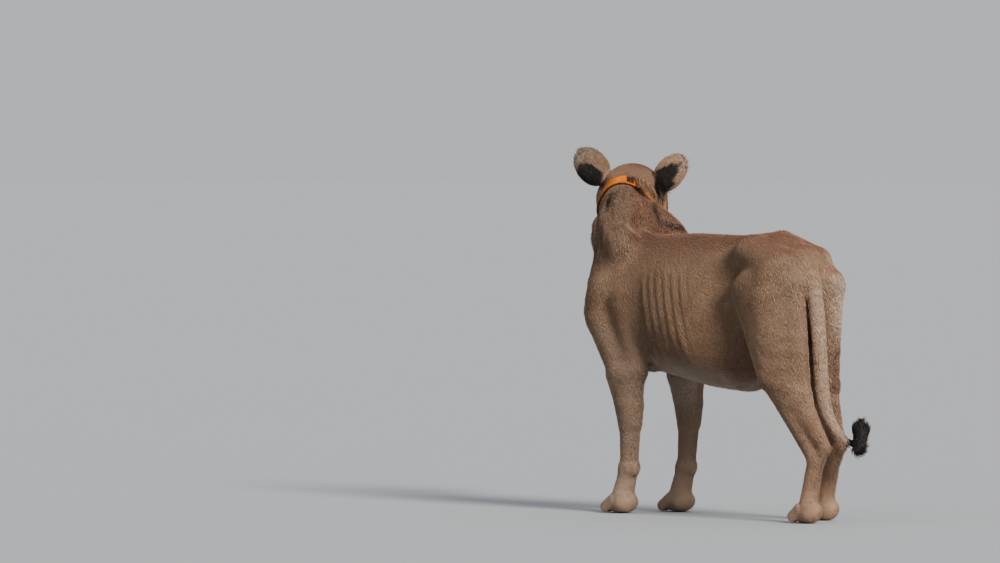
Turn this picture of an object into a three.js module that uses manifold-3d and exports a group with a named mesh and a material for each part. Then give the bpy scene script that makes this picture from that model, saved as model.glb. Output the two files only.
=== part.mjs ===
// A life-size standing lioness with a tracking collar, modelled as one smooth body of flesh
// and parted with thin cuts into head, neck, trunk, tail and legs. Millimetres, +Z up,
// the muzzle towards -Y and the animal's left side towards +X, feet on the plane Z = 0.
import * as THREE from "three";
import { RoundedBoxGeometry } from "three/addons/geometries/RoundedBoxGeometry.js";
import { mergeVertices } from "three/addons/utils/BufferGeometryUtils.js";
import Module from "manifold-3d";

const wasm = await Module();
wasm.setup();

// ---------------------------------------------------------------- small vector helpers
const add = (a, b) => [a[0] + b[0], a[1] + b[1], a[2] + b[2]];
const sub = (a, b) => [a[0] - b[0], a[1] - b[1], a[2] - b[2]];
const times = (a, s) => [a[0] * s, a[1] * s, a[2] * s];
const dot = (a, b) => a[0] * b[0] + a[1] * b[1] + a[2] * b[2];
const cross = (a, b) => [
  a[1] * b[2] - a[2] * b[1],
  a[2] * b[0] - a[0] * b[2],
  a[0] * b[1] - a[1] * b[0],
];
const size = (a) => Math.hypot(a[0], a[1], a[2]);
const unit = (a) => times(a, 1 / size(a));
const mix = (a, b, t) => a + (b - a) * t;
const between = (a, b, t) => add(a, times(sub(b, a), t));
const clamp = (v, low, high) => Math.min(high, Math.max(low, v));

// ---------------------------------------------------------------- driving dimensions
const gap = 0.3;                        // clearance between neighbouring pieces

// places where the legs hang from the trunk, for the left side
const shoulderJoint = [114, -360, 640];
const hipJoint = [94, 438, 742];
// bones of the legs
const humerus = 262;
const radius = 292;
const femur = 294;
const tibia = 318;
// where each foot stands: the wrist over a fore paw, the hock joint over a hind paw
const stance = {
  foreLeft: [100, -228, 152],
  foreRight: [-104, -186, 152],
  hindLeft: [92, 706, 205],
  hindRight: [-86, 575, 205],
};
const withers = [0, -290, 880];
const neckBase = [-14, -342, 772];
const neckMiddle = [-50, -425, 882];
const neckTop = [-94, -516, 985];

// the head stands on its eye line: place, turn about Z away from straight ahead, nod and tilt
const eyeLine = [-262, -623, 1048];
const headTurn = 56;                    // degrees, towards the animal's right
const headNod = 0;
const headTilt = -4;
const eyeRadius = 18;
const eyeSpread = 45;
const eyeDepth = -6;

// the collar lies across the top of the neck, its axis pointing to the head
const collar = {
  centre: [-97, -529, 1017],
  axis: unit([-0.508, -0.587, 0.63]),
  width: 50,
  thickness: 5,
  sink: 2,                              // how far the strap presses into the coat
  housing: { width: 86, depth: 44, height: 56, corner: 8 },
  plate: { angle: 0.44, width: 26, height: 34, thickness: 3, bolt: 5 },
};

const tailThickness = 27;               // radius half way down

// ---------------------------------------------------------------- flesh as a distance field
// Signed distance to an ellipsoid with the given radii, first order near its surface.
function ellipsoidal(u, v, w, ru, rv, rw) {
  const k0 = Math.hypot(u / ru, v / rv, w / rw);
  if (k0 < 1e-6) return -Math.min(ru, rv, rw);
  const k1 = Math.hypot(u / (ru * ru), v / (rv * rv), w / (rw * rw));
  return (k0 * (k0 - 1)) / k1;
}

// A muscle runs from one place to another. Its section there is an ellipse, given as
// [half width sideways, half depth], and `side` is the way that counts as sideways.
function muscle(from, to, fromSize, toSize, side = [1, 0, 0]) {
  const run = sub(to, from);
  const length = size(run);
  const axis = unit(run);
  const across = unit(sub(side, times(axis, dot(side, axis))));
  const normal = cross(axis, across);
  const shape = (p) => {
    const q = sub(p, from);
    const t = clamp(dot(q, axis) / length, 0, 1);
    const rv = mix(fromSize[0], toSize[0], t);
    const rw = mix(fromSize[1], toSize[1], t);
    const u = dot(q, axis) - t * length;
    return ellipsoidal(u, dot(q, across), dot(q, normal), Math.min(rv, rw), rv, rw);
  };
  return within(shape, between(from, to, 0.5), length / 2 + Math.max(...fromSize, ...toSize));
}

// Notes a ball that holds a shape, so that far away it needn't be worked out.
function within(shape, middle, reach) {
  return Object.assign(shape, { middle, reach });
}

// An egg of flesh with its own three radii.
function lump(centre, radii) {
  const shape = (p) => ellipsoidal(p[0] - centre[0], p[1] - centre[1], p[2] - centre[2], ...radii);
  return within(shape, centre, Math.max(...radii));
}

// A body drawn along Y through sections {y, top, bottom, half, middle}: the section is an
// oval, `half` wide at the height `middle`, and both ends close over `cap`.
function loft(sections, cap) {
  const ends = [sections[0].y, sections[sections.length - 1].y];
  const keys = ["top", "bottom", "half", "middle"];
  const smooth = (a, b, c, d, t) =>
    b + 0.5 * t * (c - a + t * (2 * a - 5 * b + 4 * c - d + t * (3 * (b - c) + d - a)));
  const at = (y) => {
    let i = 0;
    while (i < sections.length - 2 && y > sections[i + 1].y) i += 1;
    const [b, c] = [sections[i], sections[i + 1]];
    const a = sections[Math.max(i - 1, 0)];
    const d = sections[Math.min(i + 2, sections.length - 1)];
    const t = (y - b.y) / (c.y - b.y);
    return keys.map((key) => smooth(a[key], b[key], c[key], d[key], t));
  };
  return (p) => {
    const y = clamp(p[1], ends[0], ends[1]);
    const [top, bottom, half, middle] = at(y);
    const rise = p[2] - middle;
    return ellipsoidal(p[1] - y, p[0], rise, cap, half, rise > 0 ? top - middle : middle - bottom);
  };
}

// Flesh runs together over the width of `blend`; a hollow is pressed in the same way.
const join = (a, b, blend) => {
  const h = Math.max(blend - Math.abs(a - b), 0) / blend;
  return Math.min(a, b) - (h * h * h * blend) / 6;
};
const press = (a, b, blend) => -join(-a, b, blend);

function flesh(parts) {
  return (p) => {
    let d = 1e4;
    for (const [shape, blend, hollow] of parts) {
      if (shape.middle && size(sub(p, shape.middle)) - shape.reach > Math.abs(d) + blend) continue;
      d = hollow ? press(d, shape(p), blend) : join(d, shape(p), blend);
    }
    return d;
  };
}

// ---------------------------------------------------------------- skeleton
// The middle joint of a leg from its two ends and its two bones; it bends the way `bend` says.
function middleJoint(upper, lower, upperBone, lowerBone, bend, outward) {
  const line = sub(lower, upper);
  const reach = size(line);
  const along = (upperBone ** 2 - lowerBone ** 2 + reach ** 2) / (2 * reach);
  const off = Math.sqrt(Math.max(upperBone ** 2 - along ** 2, 0));
  const dir = unit(line);
  const away = unit(sub([0, bend, 0], times(dir, dir[1] * bend)));
  const joint = add(add(upper, times(dir, along)), times(away, off));
  return [joint[0] + outward, joint[1], joint[2]];
}
const onSide = (place, side) => [place[0] * side, place[1], place[2]];

const trunkSections = [
  { y: -390, top: 830, bottom: 535, half: 110, middle: 690 },
  { y: -300, top: 898, bottom: 472, half: 134, middle: 670 },
  { y: -150, top: 908, bottom: 455, half: 154, middle: 650 },
  { y: 0, top: 912, bottom: 432, half: 168, middle: 625 },
  { y: 120, top: 910, bottom: 414, half: 168, middle: 600 },
  { y: 230, top: 908, bottom: 407, half: 142, middle: 600 },
  { y: 330, top: 914, bottom: 425, half: 112, middle: 660 },
  { y: 430, top: 918, bottom: 540, half: 108, middle: 750 },
  { y: 530, top: 884, bottom: 640, half: 84, middle: 770 },
];

function trunkFlesh() {
  return [
    [loft(trunkSections, 60), 1],
    [muscle([0, -405, 640], [0, -240, 520], [92, 70], [84, 52]), 50],              // breast
    [muscle([0, 250, 452], [0, 330, 462], [72, 44], [56, 36]), 30],               // udder
    [muscle([-4, -330, 850], [0, -180, 860], [58, 32], [40, 24]), 40],            // withers
  ];
}

function neckFlesh() {
  const side = unit([0.84, -0.54, 0]);
  const nape = between(neckMiddle, neckTop, 0.3);
  const crest = add(neckTop, [8, 12, 66]);
  const parts = [
    [muscle(neckBase, neckMiddle, [146, 142], [104, 116], side), 60],
    [muscle(neckMiddle, neckTop, [104, 116], [74, 94], side), 50],
    [muscle(add(neckMiddle, [24, 60, 50]), crest, [54, 56], [44, 40], side), 40],
    [muscle([-126, -424, 970], [-98, -264, 900], [51, 50], [50, 46], side), 60],      // folded by the turn
  ];
  for (const s of [1, -1]) {
    const shrug = s > 0 ? [0, 0, 0] : [0, 34, 18];                                // of the right blade
    const blade = add(onSide([86, withers[1] + 14, withers[2] - 18], s), shrug);
    const point = add(onSide(shoulderJoint, s), [-4 * s, 4, 60]);
    parts.push([muscle(add(nape, times(side, 60 * s)), blade, [46, 62], [50, 64], side), 55]);
    parts.push([muscle(add(nape, [0, 0, -70]), point, [50, 70], [50, 70], side), 55]);
  }
  return parts;
}

function forelegFlesh(side, wrist) {
  const shoulder = onSide(shoulderJoint, side);
  const elbow = middleJoint(shoulder, wrist, humerus, radius, 1, side * 16);
  const bladeTop = [side * 82, withers[1] + 8, withers[2] - (side > 0 ? 30 : 14)];
  const point = add(elbow, [0, 36, 26]);                                          // of the elbow
  const knuckles = add(wrist, [0, -32, -92]);
  return [
    [muscle(bladeTop, shoulder, [38, 84], [42, 76]), 45],                         // blade
    [muscle(add(bladeTop, [side * 26, 40, -150]), point, [42, 78], [34, 44]), 45], // triceps
    [muscle(add(shoulder, [side * 2, 6, -8]), add(elbow, [0, -22, 0]), [44, 66], [44, 66]), 45],
    [muscle(add(elbow, [0, -26, 8]), between(elbow, wrist, 0.5), [50, 86], [36, 48]), 35], // forearm
    [muscle(between(elbow, wrist, 0.3), wrist, [38, 52], [29, 31]), 25],
    [lump(add(wrist, [0, 0, -4]), [34, 35, 32]), 18],                             // wrist
    [lump(add(wrist, [0, 30, -12]), [14, 15, 17]), 16],                           // wrist pad
    [muscle(wrist, knuckles, [32, 30], [42, 30]), 22],
    ...pawFlesh(knuckles, 48, 62),
  ];
}

function hindlegFlesh(side, hock) {
  const hip = onSide(hipJoint, side);
  const knee = middleJoint(hip, hock, femur, tibia, -1, side * 10);
  const heel = add(hock, [0, 44, 34]);
  const seat = side > 0 ? [64, 532, 738] : [-76, 554, 744];
  const knuckles = add(hock, [0, -38, -147]);
  const hamstring = side > 0 ? add(between(knee, heel, 0.4), [-8, 16, 16]) : add(heel, [-2, -74, 190]);
  const hips = side > 0 ? [82, 502, 790] : [-76, 490, 800];
  const lift = side > 0 ? 0 : 14;                                                 // of the loaded hip
  return [
    [muscle([side * 60, 350, 846 + lift], hips, [54, 66], side > 0 ? [64, 86] : [58, 76]), 45],
    [lump([side * 86, 338, 862], [20, 36, 22]), 40],                              // hip bone
    [muscle(hip, knee, [64, 122], [44, 62]), 50],                                 // thigh
    [muscle(seat, hamstring, [53, 66], [33, 50]), 45],                            // hamstrings
    [muscle(hamstring, heel, [30, 46], [14, 20]), 40],                            // tendon
    [muscle(add(hip, [side * 10, 50, -40]), between(knee, hamstring, 0.5), [54, 74], [36, 58]), 45],
    [muscle(add(hip, [side * 12, -56, 0]), add(knee, [0, -24, 16]), [44, 62], [34, 38]), 40],
    [muscle(knee, hock, [40, 56], [27, 32]), 30],                                 // shank
    [muscle(add(knee, [0, 70, -24]), heel, [34, 50], [14, 18]), 30],              // calf
    [muscle(hock, heel, [26, 30], [16, 20]), 18],
    [muscle(hock, knuckles, [26, 29], [34, 25]), 20],
    ...pawFlesh(knuckles, 42, 56),
  ];
}

// A paw spreads from its knuckles into four toes, over a broad pad. Its pads reach a little
// below the ground, which cuts them flat.
function pawFlesh(knuckles, half, reach) {
  const [x, y] = knuckles;
  const toes = [-1.5, -0.5, 0.5, 1.5].map((step) => {
    const outer = Math.abs(step) > 1;
    const root = [x + step * half * 0.46, y - 8, 44];
    const tip = [x + step * half * 0.56, y - reach + (outer ? 16 : 0), 19];
    return [muscle(root, tip, [half * 0.37, 24], [half * 0.33, 20]), 8];
  });
  return [
    [muscle([x, y + 12, 36], [x, y - 18, 33], [half, 36], [half, 34]), 20],
    [lump([x, y - 8, 18], [half * 0.62, 30, 21]), 8],                             // main pad
    ...toes,
  ];
}

const tailLine = new THREE.CatmullRomCurve3(
  [
    [0, 498, 838], [6, 552, 812], [14, 592, 766], [22, 618, 700], [26, 636, 620], [28, 646, 540],
    [26, 651, 460], [20, 656, 385], [10, 676, 325], [-4, 712, 275], [-18, 748, 250],
    [-30, 770, 266], [-33, 776, 304],
  ].map((p) => new THREE.Vector3(...p)),
);

function tailFlesh() {
  const steps = 26;
  const at = (i) => tailLine.getPointAt(i / steps).toArray();
  const thick = (i) => {
    const t = i / steps;
    if (t < 0.2) return mix(38, tailThickness, t / 0.2);
    if (t < 0.68) return mix(tailThickness, tailThickness - 2, (t - 0.2) / 0.48);
    return mix(tailThickness - 2, 13, Math.min((t - 0.68) / 0.2, 1));
  };
  const lengths = [];
  for (let i = 0; i < steps; i += 1) {
    const [a, b] = [thick(i), thick(i + 1)];
    lengths.push([muscle(at(i), at(i + 1), [a, a], [b, b]), i < 3 ? 40 : 6]);
  }
  const tip = tailLine.getPointAt(0.97).toArray();
  lengths.push([muscle(add(tip, [6, -4, -46]), add(tip, [0, 0, 4]), [20, 22], [28, 28]), 14]);
  return lengths;
}

// ---------------------------------------------------------------- head
const headSpace = new THREE.Matrix4()
  .makeTranslation(...eyeLine)
  .multiply(new THREE.Matrix4().makeRotationZ(THREE.MathUtils.degToRad(-headTurn)))
  .multiply(new THREE.Matrix4().makeRotationX(THREE.MathUtils.degToRad(headNod)))
  .multiply(new THREE.Matrix4().makeRotationY(THREE.MathUtils.degToRad(headTilt)));
const intoHead = headSpace.clone().invert();
const onHead = (p) => new THREE.Vector3(...p).applyMatrix4(headSpace).toArray();
const asHead = (field) => {
  const v = new THREE.Vector3();
  return (p) => field(v.set(...p).applyMatrix4(intoHead).toArray());
};

function headFlesh() {
  const pair = (shape) => [shape(1), shape(-1)];
  return [
    [lump([0, 96, 8], [90, 106, 78]), 1],                                         // cranium
    [muscle([0, 18, -12], [0, 80, 6], [66, 50], [86, 68]), 40],                   // forehead
    [muscle([0, 14, -8], [0, -90, -40], [41, 40], [38, 31]), 30],                 // bridge
    ...pair((s) => [lump([s * 44, 6, 20], [30, 24, 12]), 28]),                    // brows
    [muscle([0, 24, -60], [0, -66, -74], [82, 66], [60, 50]), 34],                // muzzle
    ...pair((s) => [lump([s * 33, -82, -79], [37, 44, 35]), 10]),                 // whisker pads
    [lump([0, -112, -47], [30, 19, 21]), 10],                                     // nose
    ...pair((s) => [muscle([s * 68, 26, -26], [s * 90, 88, -28], [28, 34], [30, 50]), 34]),
    ...pair((s) => [lump([s * 64, 72, -60], [48, 60, 58]), 40]),                  // jowls
    [muscle([0, 50, -100], [0, -58, -110], [70, 46], [46, 34]), 30],              // jaw
    [lump([0, -84, -114], [36, 31, 31]), 14],                                     // chin
    [muscle([0, 84, -80], [0, 160, -62], [78, 76], [80, 82]), 50],                // throat
    ...pair((s) => [lump([s * 49, -38, 0], [22, 18, 14]), 14, true]),             // eye hollows
  ];
}

// An ear is a cupped shell that stands up and outward and opens forward.
const earBase = [94, 112, 22];
const earAxis = unit([0.68, 0.1, 0.73]);
const earHeight = 128;
function earShape(side) {
  const axis = onSide(earAxis, side);
  const facing = unit(cross(cross(axis, onSide([0.5, -0.86, 0.1], side)), axis));
  const across = cross(facing, axis);
  const base = onSide(earBase, side);
  const middle = add(base, times(axis, earHeight * 0.46));
  const turned = (centre, radii) => (p) => {
    const q = sub(p, centre);
    return ellipsoidal(dot(q, across), dot(q, facing), dot(q, axis), ...radii);
  };
  const outside = turned(middle, [54, 32, 70]);
  const cup = turned(add(middle, add(times(facing, 24), times(axis, 6))), [42, 34, 58]);
  return (p) => press(outside(p), cup(p), 14);
}

// ---------------------------------------------------------------- fields
const headField = asHead(flesh(headFlesh()));
const earFields = [asHead(earShape(1)), asHead(earShape(-1))];
const bodyField = flesh([
  ...trunkFlesh(),
  ...forelegFlesh(1, stance.foreLeft),
  ...forelegFlesh(-1, stance.foreRight),
  ...hindlegFlesh(1, stance.hindLeft),
  ...hindlegFlesh(-1, stance.hindRight),
  ...neckFlesh(),
  [headField, 50],
]);
const earedField = flesh([[bodyField, 1], [earFields[0], 16], [earFields[1], 16]]);
const tailField = flesh(tailFlesh());
const tailedField = flesh([[bodyField, 1], [tailField, 14]]);

// ---------------------------------------------------------------- meshing and cutting
const eachCell = (count, visit) => {
  for (let k = 0; k < count[2]; k += 1) {
    for (let j = 0; j < count[1]; j += 1) {
      for (let i = 0; i < count[0]; i += 1) visit([i, j, k]);
    }
  }
};

// The corners of a cell are numbered by their bits: x is 1, y is 2 and z is 4.
const corners = [0, 1, 2, 3, 4, 5, 6, 7].map((c) => [c & 1, (c >> 1) & 1, c >> 2]);
const edges = corners.flatMap((_, a) => [1, 2, 4].filter((bit) => !(a & bit)).map((bit) => [a, a | bit]));

// Corners inside the body that touch along the cell's edges share one group.
function innerGroups(values) {
  const group = corners.map((_, n) => n);
  for (let pass = 0; pass < 7; pass += 1) {
    for (const [a, b] of edges) {
      const least = Math.min(group[a], group[b]);
      if (values[a] < 0 && values[b] < 0) [group[a], group[b]] = [least, least];
    }
  }
  return group;
}

// Surface nets: a cell that the surface crosses gets one point for each group of inner corners,
// drawn onto the surface, and each crossed edge of the grid becomes a face of four points.
function netGeometry(field, low, high, cell, evenings = 2) {
  const count = low.map((v, i) => Math.ceil((high[i] - v) / cell[i]) + 1);
  const place = (at) => at.map((v, n) => low[n] + v * cell[n]);
  const index = ([i, j, k]) => (k * count[1] + j) * count[0] + i;
  const values = new Float64Array(count[0] * count[1] * count[2]);
  eachCell(count, (at) => {
    const edge = at.some((v, n) => v === 0 || v === count[n] - 1);
    const value = field(place(at));
    values[index(at)] = edge ? Math.max(value, 0.01) : value;
  });
  const points = [];
  const pointOf = new Map();                             // by cell and inner corner
  const cells = count.map((n) => n - 1);
  eachCell(cells, (at) => {
    const inner = corners.map((c) => values[index(add(at, c))]);
    if (inner.every((v) => v < 0) || inner.every((v) => v >= 0)) return;
    const group = innerGroups(inner);
    const crossings = new Map();
    for (const [a, b] of edges) {
      if (inner[a] < 0 === inner[b] < 0) continue;
      const [from, to] = [a, b].map((c) => place(add(at, corners[c])));
      const owner = group[inner[a] < 0 ? a : b];
      const hits = crossings.get(owner) ?? [];
      hits.push(between(from, to, inner[a] / (inner[a] - inner[b])));
      crossings.set(owner, hits);
    }
    for (const [owner, hits] of crossings) {
      corners.forEach((_, n) => {
        if (group[n] === owner) pointOf.set(index(at) * 8 + n, points.length);
      });
      const inside = [0.02, 0.98].map((part) => place(at.map((v) => v + part)));
      points.push(drawn(field, times(hits.reduce(add), 1 / hits.length), ...inside));
    }
  });
  const faces = [];
  const spread = (a, b) => size(sub(points[a], points[b]));
  const face = (at, axis) => {
    const [u, v] = [(axis + 1) % 3, (axis + 2) % 3];
    const next = at.map((n, i) => (i === axis ? n + 1 : n));
    const here = values[index(at)] < 0;
    if (!at[u] || !at[v] || here === values[index(next)] < 0) return;
    const ring = [[0, 0], [1, 0], [1, 1], [0, 1]].map(([du, dv]) => {
      const beside = [...at];
      beside[u] -= du;
      beside[v] -= dv;
      const corner = (here ? 0 : 1 << axis) + (du << u) + (dv << v);
      return pointOf.get(index(beside) * 8 + corner);
    });
    const [a, b, c, d] = here ? ring : ring.reverse();
    if (spread(a, c) < spread(b, d)) faces.push(a, b, c, a, c, d);
    else faces.push(b, c, d, b, d, a);
  };
  eachCell(cells, (at) => [0, 1, 2].forEach((axis) => face(at, axis)));
  const geometry = new THREE.BufferGeometry();
  let even = points;
  for (let pass = 0; pass < evenings; pass += 1) even = relaxed(field, even, faces, cell);
  geometry.setAttribute("position", new THREE.Float32BufferAttribute(even.flat(), 3));
  geometry.setIndex(faces);
  return geometry;
}

// Moves a point onto the surface, staying within the given corners.
function drawn(field, start, low, high) {
  let p = start;
  const h = 0.5;
  for (let step = 0; step < 3; step += 1) {
    const d = field(p);
    const slope = [0, 1, 2].map((n) => {
      const q = [...p];
      q[n] += h;
      return (field(q) - d) / h;
    });
    const steep = Math.max(dot(slope, slope), 0.2);
    p = sub(p, times(slope, d / steep)).map((v, n) => clamp(v, low[n], high[n]));
  }
  return p;
}

// Evens a net out: each point moves towards the middle of its neighbours and back onto the
// surface. The points that close the net at the edge of its box stay where they are.
function relaxed(field, points, faces, cell) {
  const beside = points.map(() => []);
  for (let i = 0; i < faces.length; i += 3) {
    const [a, b, c] = faces.slice(i, i + 3);
    beside[a].push(points[b]);
    beside[b].push(points[c]);
    beside[c].push(points[a]);
  }
  return points.map((p, n) => {
    if (Math.abs(field(p)) > 1) return p;
    const middle = times(beside[n].reduce(add), 1 / beside[n].length);
    return drawn(field, between(p, middle, 0.6), sub(p, cell), add(p, cell));
  });
}

// The same mesh with each point moved outward, as room for a piece laid into another.
function grown(geometry, by) {
  const wider = geometry.clone();
  wider.computeVertexNormals();
  const { position, normal } = wider.attributes;
  const point = new THREE.Vector3();
  for (let i = 0; i < position.count; i += 1) {
    point.fromBufferAttribute(normal, i).multiplyScalar(by);
    point.add(new THREE.Vector3().fromBufferAttribute(position, i));
    position.setXYZ(i, point.x, point.y, point.z);
  }
  return wider;
}

function solid(geometry) {
  const bare = geometry.clone();
  for (const name of ["normal", "uv"]) bare.deleteAttribute(name);
  const merged = mergeVertices(bare, 1e-3);
  return new wasm.Manifold(new wasm.Mesh({
    numProp: 3,
    vertProperties: new Float32Array(merged.attributes.position.array),
    triVerts: new Uint32Array(merged.index.array),
  }));
}

// ---------------------------------------------------------------- carving into pieces
// Everything beyond a plane, as far as the animal reaches, moved out by `grow`.
const far = 2600;
function beyond([place, normal], grow = 0) {
  const n = unit(normal);
  const middle = add(place, times(n, far / 2 - grow));
  const upward = new THREE.Vector3(0, 0, 1);
  const geometry = new THREE.BoxGeometry(far, far, far);
  geometry.applyQuaternion(new THREE.Quaternion().setFromUnitVectors(upward, new THREE.Vector3(...n)));
  geometry.translate(...middle);
  return solid(geometry);
}
const zone = (planes, grow = 0) =>
  planes.map((plane) => beyond(plane, grow)).reduce((all, next) => all.intersect(next));

// The largest piece of a cut, without the crumbs beside it.
const largest = (shape) => shape.decompose().sort((a, b) => b.volume() - a.volume())[0];

const above = (z) => [[0, 0, z], [0, 0, 1]];
const below = (z) => [[0, 0, z], [0, 0, -1]];
const behind = (y) => [[0, y, 0], [0, 1, 0]];
const before = (y) => [[0, y, 0], [0, -1, 0]];
const ground = above(0);
const sideName = (side) => (side > 0 ? "left" : "right");

// Heights and lengths at which the body is parted.
const pawTop = 112;
const forearmTop = 404;
const shankTop = 394;
const chestBack = -110;
const rumpFront = 318;
const tailCuts = [600, 380];
const tuftFront = 736;

// Each zone names a piece, the planes that bound it, and the box and cells it is meshed in.
function earZone(side) {
  const foot = onHead(onSide(add(earBase, times(earAxis, 16)), side));
  const tip = onHead(onSide(add(earBase, times(earAxis, earHeight)), side));
  const [x, y, z] = between(foot, tip, 0.4);
  return {
    name: `ear_${sideName(side)}`,
    field: earedField,
    planes: [[foot, sub(tip, foot)], above(980), before(-200)],
    cell: [15, 15, 15],
    evenings: 0,                          // too thin to be evened out
    box: [[x - 110, y - 110, z - 110], [x + 110, y + 110, z + 110]],
  };
}

function legZones(side) {
  const name = sideName(side);
  const inner = [[side * 2, 0, 0], [side, 0, 0]];
  const thighFront = side > 0 ? 400 : 292;
  const inward = [[side * 6, 0, 470], [side, 0, -0.27]];
  const [foreX, hindX] = side > 0 ? [20, -6] : [-230, -230];
  const foreBox = (z0, z1) => [[foreX, -480, z0], [foreX + 236, 20, z1]];
  const hindBox = (z0, z1) => [[hindX, 240, z0], [hindX + 236, 860, z1]];
  return [
    { name: `fore_paw_${name}`, planes: [below(pawTop), before(0), inner, ground],
      cell: [22, 22, 22], box: foreBox(-12, 160) },
    { name: `hind_paw_${name}`, planes: [below(pawTop), behind(250), inner, ground],
      cell: [22, 22, 22], box: hindBox(-12, 160) },
    { name: `forearm_${name}`, planes: [below(forearmTop), before(60), inner],
      cell: [29, 29, 54], box: foreBox(60, 470) },
    { name: `shank_${name}`, planes: [below(shankTop), behind(250), inner],
      cell: [30, 32, 46], box: hindBox(60, 450) },
    { name: `upper_arm_${name}`,
      planes: [[[side * 66, 0, 430], [side, 0, -0.08]], [[0, -104, 430], [0, -1, -0.2]], above(forearmTop)],
      cell: [50, 54, 58], box: [[side > 0 ? 30 : -230, -520, 302], [side > 0 ? 230 : -30, -60, 960]] },
    { name: `thigh_${name}`,
      planes: [inward, [[0, thighFront, 430], [0, 1, 0.16]], above(shankTop)],
      cell: [50, 54, 58], box: [[side > 0 ? -20 : -230, 230, 292], [side > 0 ? 230 : 20, 700, 980]] },
  ];
}

const neckBack = between(neckBase, neckMiddle, 0.75);
const zones = [
  earZone(1),
  earZone(-1),
  { name: "head", field: earedField, planes: [[collar.centre, collar.axis]],
    cell: [29, 29, 29], box: [[-470, -860, 820], [20, -360, 1240]] },
  { name: "neck", planes: [[neckBack, sub(neckTop, neckBase)]],
    cell: [49, 49, 49], box: [[-330, -690, 620], [200, -190, 1200]] },
  ...legZones(1),
  ...legZones(-1),
  { name: "chest", planes: [before(chestBack)],
    cell: [62, 62, 60], box: [[-230, -560, 400], [230, -60, 1000]] },
  { name: "rump", planes: [behind(rumpFront)],
    cell: [60, 62, 60], box: [[-230, 270, 340], [230, 690, 980]] },
  { name: "belly", planes: [behind(chestBack), before(rumpFront)],
    cell: [58, 92, 58], box: [[-230, -170, 350], [230, 380, 980]] },
];

// The tail is meshed by itself and laid into the rump.
const tailBox = [[-120, 440, 180], [70, 830, 900]];
const tailCell = [21, 21, 36];
const tailGeometry = netGeometry(tailField, ...tailBox, tailCell);
const tailWhole = solid(tailGeometry);
const tailRoom = solid(grown(tailGeometry, 3 * gap));
const tailZones = [
  { name: "tail_tuft", planes: [behind(tuftFront)] },
  { name: "tail_root", planes: [above(tailCuts[0])] },
  { name: "tail_middle", planes: [above(tailCuts[1])] },
  { name: "tail_end", planes: [below(tailCuts[1])] },
];

// Cuts a body at its zones, each leaving a thin gap to the ones before it.
function part(zonesOfBody, shapeOf) {
  const taken = [];
  const parts = new Map();
  for (const place of zonesOfBody) {
    const whole = shapeOf(place).intersect(zone(place.planes));
    const piece = taken.reduce((rest, other) => rest.subtract(other), whole);
    taken.push(zone(place.planes, gap));
    parts.set(place.name, largest(piece));
  }
  return parts;
}

// ---------------------------------------------------------------- eyes
const eyes = [1, -1].map((side) => {
  const place = onHead([side * eyeSpread, eyeDepth, 0]);
  const ball = (r) => {
    const geometry = new THREE.SphereGeometry(r, 12, 7);
    return geometry.applyMatrix4(headSpace.clone().setPosition(...place));
  };
  const [shape, room] = [eyeRadius, eyeRadius + 2 * gap].map((r) => solid(ball(r)));
  return { name: `eye_${sideName(side)}`, shape, room };
});

// ---------------------------------------------------------------- collar
// The strap lies round the top of the neck; places on it are given by the angle from the
// nape, the distance from the middle and the height along the collar's axis.
const napeWay = unit(sub([0, 0, 1], times(collar.axis, collar.axis[2])));
const sideWay = cross(collar.axis, napeWay);
const wayAt = (angle) => add(times(napeWay, Math.cos(angle)), times(sideWay, Math.sin(angle)));
const strapPlace = (angle, distance, height) =>
  add(add(collar.centre, times(wayAt(angle), distance)), times(collar.axis, height));

// How far the coat lies from the middle of the collar.
function girthAt(angle, height) {
  let [near, wide] = [40, 200];
  for (let step = 0; step < 16; step += 1) {
    const r = (near + wide) / 2;
    if (bodyField(strapPlace(angle, r, height)) < 0) near = r;
    else wide = r;
  }
  return near;
}

const strapSteps = 36;
const turnAt = (i) => (i / strapSteps) * 2 * Math.PI;
const around = (list, i) => list[(i + strapSteps) % strapSteps];
const smoothRing = (ring) => ring.map((r, i) => (around(ring, i - 1) + 2 * r + around(ring, i + 1)) / 4);
const girths = [-0.5, 0.5].map((edge) => {
  const ring = Array.from({ length: strapSteps }, (_, i) => girthAt(turnAt(i), edge * collar.width));
  return smoothRing(smoothRing(ring));
});

// A band round the neck from `inner` to `outer`, measured from the coat under the strap.
function band(inner, outer, width) {
  const points = [];
  const faces = [];
  for (let i = 0; i < strapSteps; i += 1) {
    const [low, high] = [-0.5, 0.5].map((end) =>
      mix(girths[0][i], girths[1][i], 0.5 + (end * width) / collar.width));
    const places = [[low + outer, -1], [high + outer, 1], [high + inner, 1], [low + inner, -1]];
    points.push(...places.map(([distance, end]) => strapPlace(turnAt(i), distance, (end * width) / 2)));
    for (let corner = 0; corner < 4; corner += 1) {
      const [a, b] = [i * 4 + corner, i * 4 + ((corner + 1) % 4)];
      const [c, d] = [a, b].map((n) => (n + 4) % (4 * strapSteps));
      faces.push(a, c, d, a, d, b);
    }
  }
  const geometry = new THREE.BufferGeometry();
  geometry.setAttribute("position", new THREE.Float32BufferAttribute(points.flat(), 3));
  geometry.setIndex(faces);
  return solid(geometry);
}

// Lays a geometry on the strap: its X along the strap, Y along the axis, Z outward.
function onStrap(geometry, angle, distance) {
  const out = wayAt(angle);
  const axis = new THREE.Vector3(...collar.axis);
  const along = new THREE.Vector3().crossVectors(axis, new THREE.Vector3(...out));
  const frame = new THREE.Matrix4().makeBasis(along, axis, new THREE.Vector3(...out));
  return geometry.clone().applyMatrix4(frame.setPosition(...strapPlace(angle, distance, 0)));
}

const strapOutside = (angle) => {
  const i = Math.round((angle / (2 * Math.PI)) * strapSteps);
  return (girths[0][i] + girths[1][i]) / 2 + collar.thickness - collar.sink;
};

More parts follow.
